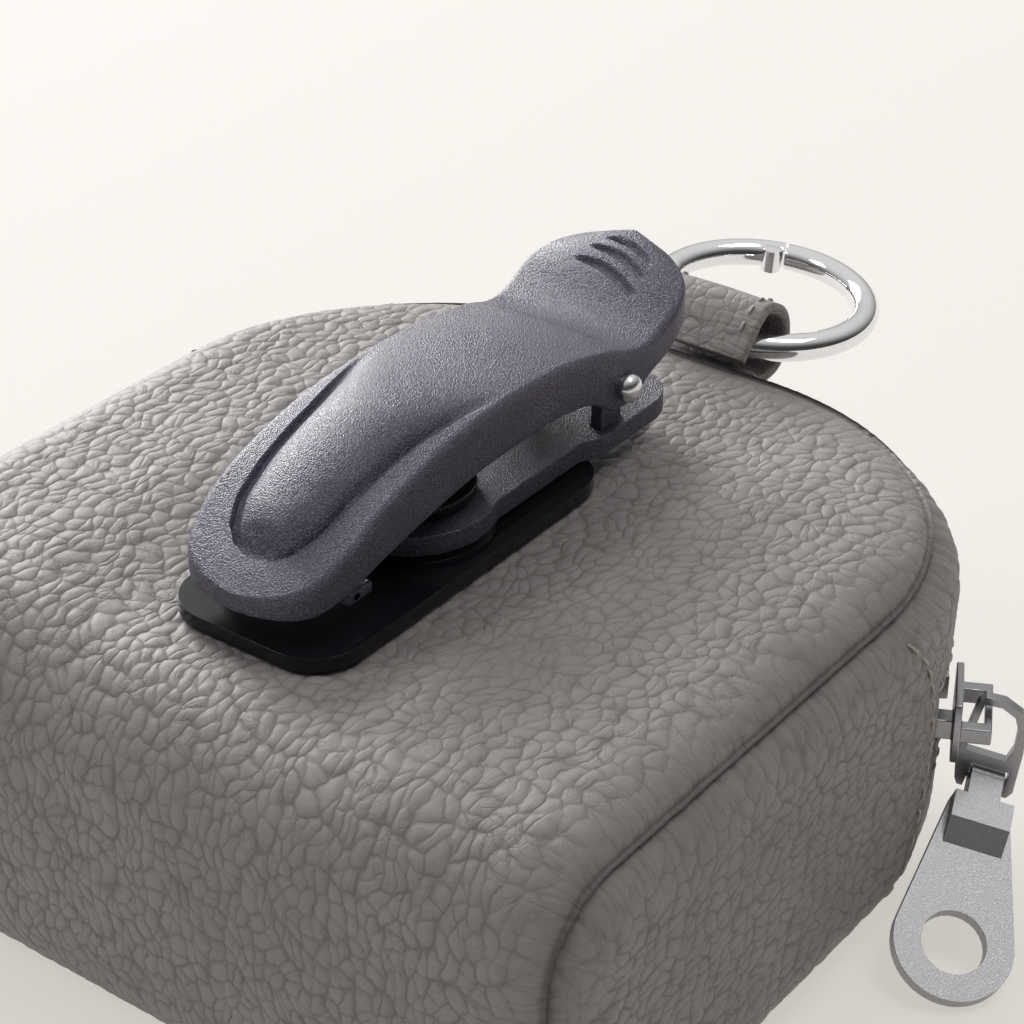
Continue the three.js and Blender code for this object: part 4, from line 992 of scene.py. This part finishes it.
def lever_sizes(along):
    """Half width, heights of the upper edge and of the skirt, and crown, in millimetres."""
    shares, columns = LEVER_ROWS[:, 0], LEVER_ROWS.T[1:]
    half, edge, skirt, crown = (float(spline(shares, column, along)) for column in columns)
    half *= LEVER_HALF
    if along < TIP_ROUND:
        half *= max(1 - (1 - along / TIP_ROUND) ** 2.5, 0.0005) ** 0.5
    if along > 1 - TAIL_ROUND:
        half *= max(1 - ((along - 1 + TAIL_ROUND) / TAIL_ROUND) ** 2.3, 0.0005) ** 0.42
    low = PIN_Z + LEVER_LOW
    return half, low + edge * LEVER_HEIGHT, low + skirt * LEVER_HEIGHT, crown * LEVER_CROWN


def lever_section(along, around):
    """One closed line round the lever: over the top, down the right, along the inside, up the left."""
    half, edge, skirt, crown = lever_sizes(along)
    y = PIN_Y + LEVER_FRONT + along * LEVER_LENGTH
    upper_round = min(1.0, half * 0.5, (edge - skirt) * 0.45)
    reach = half - upper_round
    inner = min(oval_edge(along, half), reach * 0.93)
    beside = inner + (reach - inner) * np.linspace(0, 1, around // 4 + 1)[1:]
    x = np.concatenate([-beside[::-1], inner * np.linspace(-1, 1, around // 2 + 1), beside])
    wide = np.abs(x) / max(half, 1e-3)
    z = edge + crown * (1 - wide ** 2) + lever_top(wide, along, half) - grip_cut(x, np.full_like(x, y))

    turn = np.linspace(0, math.pi / 2, 7)[1:]
    side_x = half - upper_round * (1 - np.sin(turn))
    side_z = z[-1] - upper_round * (1 - np.cos(turn))
    turn = np.linspace(0, math.pi / 2, 4)
    lower_round = min(0.4, upper_round)
    low_x = half - lower_round * (1 - np.cos(turn))
    low_z = skirt + lower_round * (1 - np.sin(turn))
    wall_z = np.linspace(side_z[-1], skirt + lower_round, 8)[1:-1]

    inside = max(half - LEVER_WALL, half * 0.45)
    is_open = HOLLOW_FROM < along < HOLLOW_TO
    depth = max(edge + crown * 0.7 - LEVER_SKIN - skirt, 0.2) if is_open else 0.02
    ceiling = skirt + depth
    inner_x = [inside + 0.2, inside, inside, inside * 0.96]
    inner_z = [skirt, skirt + 0.1 * is_open, ceiling - 0.5 * is_open, ceiling]
    right_x = np.concatenate([side_x, np.full(6, half), low_x, inner_x])
    right_z = np.concatenate([side_z, wall_z, low_z, inner_z])
    loop_x = np.concatenate([x, right_x, [inside * 0.5, 0, -inside * 0.5], -right_x[::-1]])
    loop_z = np.concatenate([z, right_z, [ceiling] * 3, right_z[::-1]])
    return np.stack([loop_x, np.full_like(loop_x, y), loop_z], axis=-1)


def lever_grid():
    """Sections along the lever, closest together at its round ends and over the thumb pad."""
    step = 0.22
    body = np.linspace(END_SHARE, PAD_FROM, int(LEVER_LENGTH * 0.83 / step))
    pad = np.linspace(PAD_FROM, 1 - END_SHARE, int(LEVER_LENGTH * 0.11 / (step * 0.5)))[1:]
    end = END_SHARE * (1 - np.cos(np.linspace(0, math.pi / 2, 14)[:-1]))
    stations = np.concatenate([end, body, pad, 1 - end[::-1]])
    return np.array([lever_section(along, int(2 * LEVER_HALF / step)) for along in stations])


def tube(sections):
    """Points and faces through closed sections, with both ends capped."""
    rows, count = sections.shape[:2]
    index = np.arange(rows * count).reshape(rows, count)
    after = np.roll(index, -1, axis=1)
    faces = np.stack([index[:-1], after[:-1], after[1:], index[1:]], axis=-1).reshape(-1, 4).tolist()
    faces.append(index[0][::-1].tolist())
    faces.append(index[-1].tolist())
    return sections.reshape(-1, 3), faces


def joined(parts):
    """Several closed shells, each of points and faces, as one list of points and one of faces."""
    points, faces, start = [], [], 0
    for part_points, part_faces in parts:
        points.append(np.asarray(part_points))
        faces += [[i + start for i in face] for face in part_faces]
        start += len(part_points)
    return np.concatenate(points), faces


def hard_piece(name, parts, node, material):
    """One object from several closed shells, in a solid's place."""
    points, faces = joined(parts)
    piece = new_piece(name, points, faces, frame["nodes"][node]["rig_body"], material, [node])
    face_out(piece)
    piece.data.set_sharp_from_angle(angle=math.radians(SHARP_FROM))
    count_triangles(piece)


def soft_box(centre, size, radius, steps=3):
    """A box with rounded edges, as points and faces."""
    made = bmesh.new()
    bmesh.ops.create_cube(made, size=1.0)
    bmesh.ops.scale(made, vec=size, verts=made.verts)
    bmesh.ops.bevel(made, geom=made.edges[:], offset=radius, segments=steps, profile=0.5, affect="EDGES")
    bmesh.ops.translate(made, vec=centre, verts=made.verts)
    points = [tuple(v.co) for v in made.verts]
    faces = [[v.index for v in face.verts] for face in made.faces]
    made.free()
    return points, faces


lever_parts = [tube(lever_grid())]
for side in (1, -1):
    hook_x = side * 8.3
    lever_parts.append(soft_box((hook_x, -29.6, 54.4), (1.5, 2.0, 5.4), 0.3))
    lever_parts.append(soft_box((hook_x, -28.4, 52.4), (1.5, 3.4, 1.4), 0.35))
hard_piece("clip_lever_shell", lever_parts, "clip_lever", CLIP_PLASTIC)

# %% [markdown]
# ## Clip pin
# The lever turns on a steel pin. Its ends are peened over into low domes, one on each side.

# %% Pin
def turned(profile, origin, axis, segments=40):
    """A turned shape: rows of radius and height along an axis from an origin."""
    axis = Vector(axis).normalized()
    side = axis.orthogonal().normalized()
    other = np.array(axis.cross(side))
    turn = 2 * math.pi * np.arange(segments)[:, None] / segments
    round_line = np.cos(turn) * np.array(side) + np.sin(turn) * other
    return tube(np.array([np.array(origin) + np.array(axis) * height + radius * round_line
                          for radius, height in profile]))


PIN_HEAD_FROM = 11.1
dome = [(1.68, 0.0), (1.74, 0.12), (1.74, 0.34), (1.66, 0.62), (1.45, 0.95), (1.1, 1.25), (0.65, 1.44),
        (0.05, 1.5)]
pin_parts = [turned([(1.2, -PIN_HEAD_FROM), (1.2, PIN_HEAD_FROM)], (0, PIN_Y, PIN_Z), (1, 0, 0))]
for side in (1, -1):
    pin_parts.append(turned(dome, (side * PIN_HEAD_FROM, PIN_Y, PIN_Z), (side, 0, 0)))
PIN_STEEL = hard_finish("pin_steel", (0.75, 0.75, 0.76, 1.0), 0.25, 1.0, 0.3, 0.001)
hard_piece("clip_pin_domes", pin_parts, "clip_pin", PIN_STEEL)

# %% [markdown]
# ## Spring ring
# The ring is round wire of 3.6 mm bent to a circle. A quarter of it is the gate, which turns on a
# small rivet at one end and closes against a slanted face at the other.

# %% Ring
RING_RADIUS, RING_WIRE = 13.4, 1.785
GATE_FROM, GATE_TO, GATE_GAP, GATE_SLANT = 109.5, 188.5, 1.5, 38.0
RING_PLACE = (Matrix.Translation((0, BACK_SEAM["top"] + 17.7, BACK_SEAM["z"] + 1.4))
              @ Matrix.Rotation(math.radians(3.7), 4, "Y") @ Matrix.Rotation(math.radians(-2), 4, "X"))


def placed(part, matrix):
    points, faces = part
    flat = np.array(points, float) @ np.array(matrix.to_3x3()).T + np.array(matrix.translation)
    return flat, faces


def wire_arc(start, end, slant_start, slant_end, steps):
    """Round wire along a circle between two angles, with its end faces cut at a slant."""
    turn = np.linspace(0, 2 * math.pi, 33)[:-1]
    sections = []
    cap = ((0.90, 0.0), (0.97, 0.05), (1.0, 0.16))
    places = [(start, slant_start, scale, inwards) for scale, inwards in cap]
    places += [(lerp(start, end, k / steps), 0, 1.0, 0) for k in range(2, steps - 1)]
    places += [(end, slant_end, scale, -inwards) for scale, inwards in cap[::-1]]
    for angle, slant, scale, inwards in places:
        thick = RING_WIRE * scale
        past = thick * np.cos(turn)
        at = np.radians(angle) + (inwards - math.tan(math.radians(slant)) * past) / RING_RADIUS
        reach = RING_RADIUS + past
        sections.append(np.stack([reach * np.cos(at), reach * np.sin(at), thick * np.sin(turn)], axis=-1))
    return tube(np.array(sections))


ring_steps = 180
ring_from, ring_to = GATE_TO + GATE_GAP, GATE_FROM + 360 - GATE_GAP
ring_parts = [placed(wire_arc(ring_from, ring_to, GATE_SLANT, 0, ring_steps), RING_PLACE)]
hard_piece("ring_wire", ring_parts, "ring_body", CHROME)
BOSS_ANGLE, BOSS_REACH = math.radians(116), 11.9
boss = turned([(1.0, -1.62), (1.28, -1.5), (1.3, -1.3), (1.3, 1.3), (1.28, 1.5), (1.0, 1.62)],
              (BOSS_REACH * math.cos(BOSS_ANGLE), BOSS_REACH * math.sin(BOSS_ANGLE), 0), (0, 0, 1), 32)
gate_parts = [placed(part, RING_PLACE) for part in (wire_arc(GATE_FROM, GATE_TO, 0, GATE_SLANT, 50), boss)]
hard_piece("ring_gate_wire", gate_parts, "ring_gate", CHROME)

# %% [markdown]
# ## Strap loop
# A narrow strap of the same hide is folded round the ring and sewn into the far seam. Its line is
# given from the side, and its section is a rounded bar 1.5 mm thick.

# %% Strap
STRAP_WIDTH, STRAP_THICKNESS, STRAP_EDGE, STRAP_RELIEF = 16.5, 1.5, 0.55, 0.09
STRAP_REACH, STRAP_HEIGHT, STRAP_SAG = 10.9, 9.4, 2.6
STRAP_LINE = np.array([
    (0.248, 0.16), (0.367, 0.021), (0.569, 0), (0.789, 0.043), (0.954, 0.234), (1, 0.5),
    (0.927, 0.755), (0.752, 0.926), (0.55, 1), (0.385, 0.904), (0.22, 0.713), (0.037, 0.479),
])


def strap_line(count):
    """Points of the strap's middle line, evenly spaced, and the directions out of its outer face."""
    y = BACK_SEAM["top"] + STRAP_LINE[:, 0] * STRAP_REACH
    z = BACK_SEAM["z"] - STRAP_SAG + STRAP_LINE[:, 1] * STRAP_HEIGHT
    run = run_of(np.stack([y, z], axis=-1))
    at = np.linspace(0, run[-1], count)
    line = np.stack([spline(run, y, at), spline(run, z, at)], axis=-1)
    along = unit(np.gradient(line, axis=0))
    return line, np.stack([along[:, 1], -along[:, 0]], axis=-1), run[-1]


def strap_loop():
    count = 110
    line, out, length = strap_line(count)
    half, thick, radius = STRAP_WIDTH / 2, STRAP_THICKNESS / 2, STRAP_EDGE
    flat = np.linspace(-half + radius, half - radius, 38)
    turn = np.linspace(math.pi / 2, -math.pi / 2, 9)[1:-1]
    section_x = np.concatenate([flat, half - radius + radius * np.cos(turn), flat[::-1],
                                -half + radius - radius * np.cos(turn)])
    face = thick + 0.05 * np.cos(flat * 0.5)
    section_out = np.concatenate([face, thick * np.sin(turn), -face[::-1], -thick * np.sin(turn)])
    hide_x = section_x + np.where(section_out < 0, UNDERSIDE_AT, 0)
    from_edge = 2.6 + 0.25 * (half - np.abs(section_x))
    sections, hides = [], []
    for k in range(count):
        y = line[k, 0] + out[k, 0] * section_out
        z = line[k, 1] + out[k, 1] * section_out
        sections.append(np.stack([section_x, y, z], axis=-1))
        run = np.full_like(section_x, HIDE_AT["strap"] + length * k / (count - 1))
        hides.append(np.stack([hide_x, run, from_edge], axis=-1))
    points, faces = tube(np.array(sections))
    piece = new_piece("leather_strap", points, faces, "pouch", LEATHER, ["strap_loop"])
    lay_out(piece, np.concatenate(hides))
    raise_grain(piece, STRAP_RELIEF)


strap_loop()

# %% [markdown]
# ## Stitches
# Each stitch is a short piece of waxed thread that lies on the leather and dives into it at both
# ends. All stitches of a seam are one mesh, laid along a line of points with a given pitch.

# %% Stitch helper
def thread_finish():
    start, surface, material = finish_of("waxed_thread")
    place = start.node("ShaderNodeTexCoord", None, None, "Object")
    twist = place.noise(4 / MM, 2.0, flat=False)
    colour = twist.ramp(0.3, 0.7).mix(srgb(150, 142, 132), srgb(186, 178, 166))
    feed(surface, Base_Color=colour, Roughness=0.7, Normal=twist.bump(0.6, 0.06))
    return material


THREAD = thread_finish()


STITCH_GAP, STITCH_SINK, STITCH_FLATTENED = 0.7, 0.26, 0.85


def stitches(name, line, normals, pitch, thread):
    """Stitches along a line of points, with the leather's normal at each point."""
    run = run_of(line)
    count = int(run[-1] / pitch)
    length = pitch - STITCH_GAP
    share = np.linspace(-1, 1, 9)
    lift = (thread * 0.55 - (STITCH_SINK + thread) * np.abs(share) ** 5)[:, None]
    radius = (thread * (1 - 0.35 * np.abs(share) ** 4))[:, None, None]
    turn = np.linspace(0, 2 * math.pi, 9)[:-1][None, :, None]
    parts = []
    for k in range(count):
        at = (k + 0.5) * run[-1] / count + length * share / 2
        middle = np.stack([np.interp(at, run, axis) for axis in line.T], axis=-1)
        normal = unit(np.stack([np.interp(at, run, axis) for axis in normals.T], axis=-1))
        side = np.cross(unit(np.gradient(middle, axis=0)), normal)
        round_line = np.cos(turn) * side[:, None] + STITCH_FLATTENED * np.sin(turn) * normal[:, None]
        parts.append(tube((middle + normal * lift)[:, None] + radius * round_line))
    points, faces = joined(parts)
    face_out(new_piece(name, points, faces, "pouch", THREAD))
    print(name, "stitches:", count)


# %% Stitches of the strap, the gussets and the zip strips
SEAM_THREAD, STRAP_THREAD = 0.19, 0.20
SIDES = ((1, "right"), (-1, "left"))
line, out, _ = strap_line(200)
# From just past the fold to the seam, the strap's upper side is this part of its line.
line, out = line[98:178], out[98:178]
upper = line + out * (STRAP_THICKNESS / 2 + 0.02)
for side, name in SIDES:
    row = np.column_stack([np.full(len(upper), side * (STRAP_WIDTH / 2 - 1.9)), upper])
    stitches("strap_stitches_" + name, row, np.column_stack([np.zeros(len(out)), out]), 2.3, STRAP_THREAD)

z = np.linspace(FRONT_SEAM["z"] + 2.2, BACK_SEAM["z"] - 2.2, 120)
y = overlap_at(z) - 1.7
for side, name in SIDES:
    row = wall_point(station_at(y, z), z, 0.0)
    step = wall_point(station_at(y, z), z, 1.0) - row
    stitches("gusset_stitches_" + name, row * (side, 1, 1), step * (side, 1, 1), 3.1, SEAM_THREAD)

share = share_at(np.linspace(3, WALL_LENGTH - 3, 500))
for name, z in (("back", ZIP_BACK_EDGE + 1.8), ("front", ZIP_FRONT_EDGE - 1.8)):
    row = strip_point(share, np.full(500, z), -STRIP_DROP)
    step = strip_point(share, np.full(500, z), 1.0 - STRIP_DROP) - row
    stitches("strip_stitches_" + name, row, step, 3.0, SEAM_THREAD)

# %% [markdown]
# ## Zip
# The zip is a woven tape with two rows of metal teeth, which mesh in the middle. Every tooth is a
# small rounded block, and every second one comes from the other side.

# %% Tape and teeth
def tape_finish():
    start, surface, material = finish_of("zip_tape")
    place = start.node("ShaderNodeAttribute", {"attribute_name": HIDE}, None, "Vector")

    def bands(direction, scale):
        settings = {"wave_type": "BANDS", "bands_direction": direction}
        sockets = {"Vector": place, "Scale": scale, "Distortion": 0.3}
        waves = place.node("ShaderNodeTexWave", settings, sockets)
        return place.node("ShaderNodeRGBToBW", None, {0: waves})

    weave = bands("X", 1.1) * bands("Y", 0.8)
    colour = weave.mix(srgb(74, 71, 68), srgb(122, 117, 112))
    feed(surface, Base_Color=colour, Roughness=0.9, Normal=weave.bump(0.8, 0.15))
    return material


TAPE_DEPTH, TAPE_HALF, TAPE_THICKNESS = 1.9, 7.5, 0.5


def zip_tape():
    columns = 260
    share = np.linspace(0.01, 0.99, columns)
    heights = np.linspace(-TAPE_HALF, TAPE_HALF, 14)
    section = [(h, TAPE_DEPTH) for h in heights] + [(h, TAPE_DEPTH + TAPE_THICKNESS) for h in heights[::-1]]
    lines = [strip_point(share, np.full(columns, ZIP_Z + h), -depth) for h, depth in section]
    grid = np.stack(lines, axis=1)
    points, faces = tube(grid)
    piece = new_piece("zip_tape_woven", points, faces, "pouch", tape_finish(), ["zip_tape"])
    run = np.interp(share, np.linspace(0, 1, 400), WALL_RUN)
    across = np.array([h for h, _ in section])[None, :]
    lay_out(piece, np.stack(np.broadcast_arrays(across, run[:, None], 0.0), axis=-1))


zip_tape()


TOOTH, TOOTH_EDGE = (0.84, 3.3, 1.9), 0.22
TOOTH_PITCH, TOOTH_OFFSET, TOOTH_DEPTH = 1.28, 1.12, 0.9
CHAIN_FROM, CHAIN_TO = 0.11 * WALL_LENGTH, 0.997 * WALL_LENGTH


def zip_teeth():
    tooth, tooth_faces = soft_box((0, 0, 0), TOOTH, TOOTH_EDGE, 2)
    tooth = np.array(tooth)

    def chain(share, offset):
        return strip_point(np.array([share]), np.array([ZIP_Z]), offset)[0]

    parts = []
    for k in range(int((CHAIN_TO - CHAIN_FROM) / TOOTH_PITCH)):
        share = share_at(CHAIN_FROM + (k + 0.5) * TOOTH_PITCH)
        here = chain(share, -TOOTH_DEPTH)
        along = unit(chain(share + 0.001, -TOOTH_DEPTH) - here)
        out = unit(chain(share, 0.0) - here)
        lifted = tooth[:, 1:2] + (TOOTH_OFFSET if k % 2 else -TOOTH_OFFSET)
        parts.append((here + tooth[:, :1] * along + lifted * (0, 0, 1) + tooth[:, 2:] * out, tooth_faces))
    hard_piece("zip_teeth_rows", parts, "zip_teeth", SATIN)
    print("teeth:", len(parts))


zip_teeth()

# %% [markdown]
# ## Studio floor and light
# The floor is pale paper that glows a little, so that it stays even where the pouch shades it. A
# large soft key light stands low at the back left, and grazes the leather and the lever.

# %% Floor and lights
def floor_finish():
    _, surface, material = finish_of("floor_paper")
    feed(surface, Base_Color=(0.25, 0.248, 0.244, 1.0), Roughness=0.9)
    feed(surface, Emission_Color=srgb(246, 240, 233), Emission_Strength=0.58)
    return material


floor_mesh = bpy.data.meshes.new("studio_floor")
FLOOR_HALF = 6.0
floor_mesh.from_pydata([(x, y, 0) for x, y in ((-1, -1), (1, -1), (1, 1), (-1, 1))], [], [(0, 1, 2, 3)])
floor_mesh.transform(Matrix.Scale(FLOOR_HALF, 4))
floor_mesh.materials.append(floor_finish())
floor = bpy.data.objects.new("studio_floor", floor_mesh)
bpy.context.scene.collection.objects.link(floor)


def studio_world():
    """A dim room with a bright ceiling, brighter at the back left than towards the camera."""
    world = bpy.data.worlds.new("studio")
    world.use_nodes = True
    background = world.node_tree.nodes["Background"]
    start = Wire(world.node_tree)
    sky = start.node("ShaderNodeTexCoord", None, None, "Generated")
    lit = sky.vector("DOT_PRODUCT", (-0.30, 0.30, 0.90), "Value")
    colour = lit.ramp(0.0, 0.9).mix((0.05, 0.05, 0.05, 1.0), (0.75, 0.745, 0.735, 1.0))
    world.node_tree.links.new(colour.socket, background.inputs["Color"])
    background.inputs["Strength"].default_value = 1.0
    bpy.context.scene.world = world


studio_world()


def soft_light(name, place, size, power, colour):
    """A square area light that faces the pouch."""
    data = bpy.data.lights.new(name, "AREA")
    data.shape = "RECTANGLE"
    data.size = data.size_y = size
    data.energy = power
    data.color = colour
    light = bpy.data.objects.new(name, data)
    light.location = place
    light.rotation_euler = (LIT_POINT - Vector(place)).to_track_quat("-Z", "Y").to_euler()
    bpy.context.scene.collection.objects.link(light)


LIT_POINT = Vector((0, 0, 0.03))
soft_light("key", (-2.1, 1.0, 0.87), 1.2, 80.0, (1.0, 0.995, 0.985))
soft_light("ceiling", (0.8, 0.5, 2.5), 1.0, 14.0, (1.0, 0.995, 0.99))
soft_light("front", (-1.3, -1.3, 1.9), 0.7, 14.0, (1.0, 0.995, 0.99))
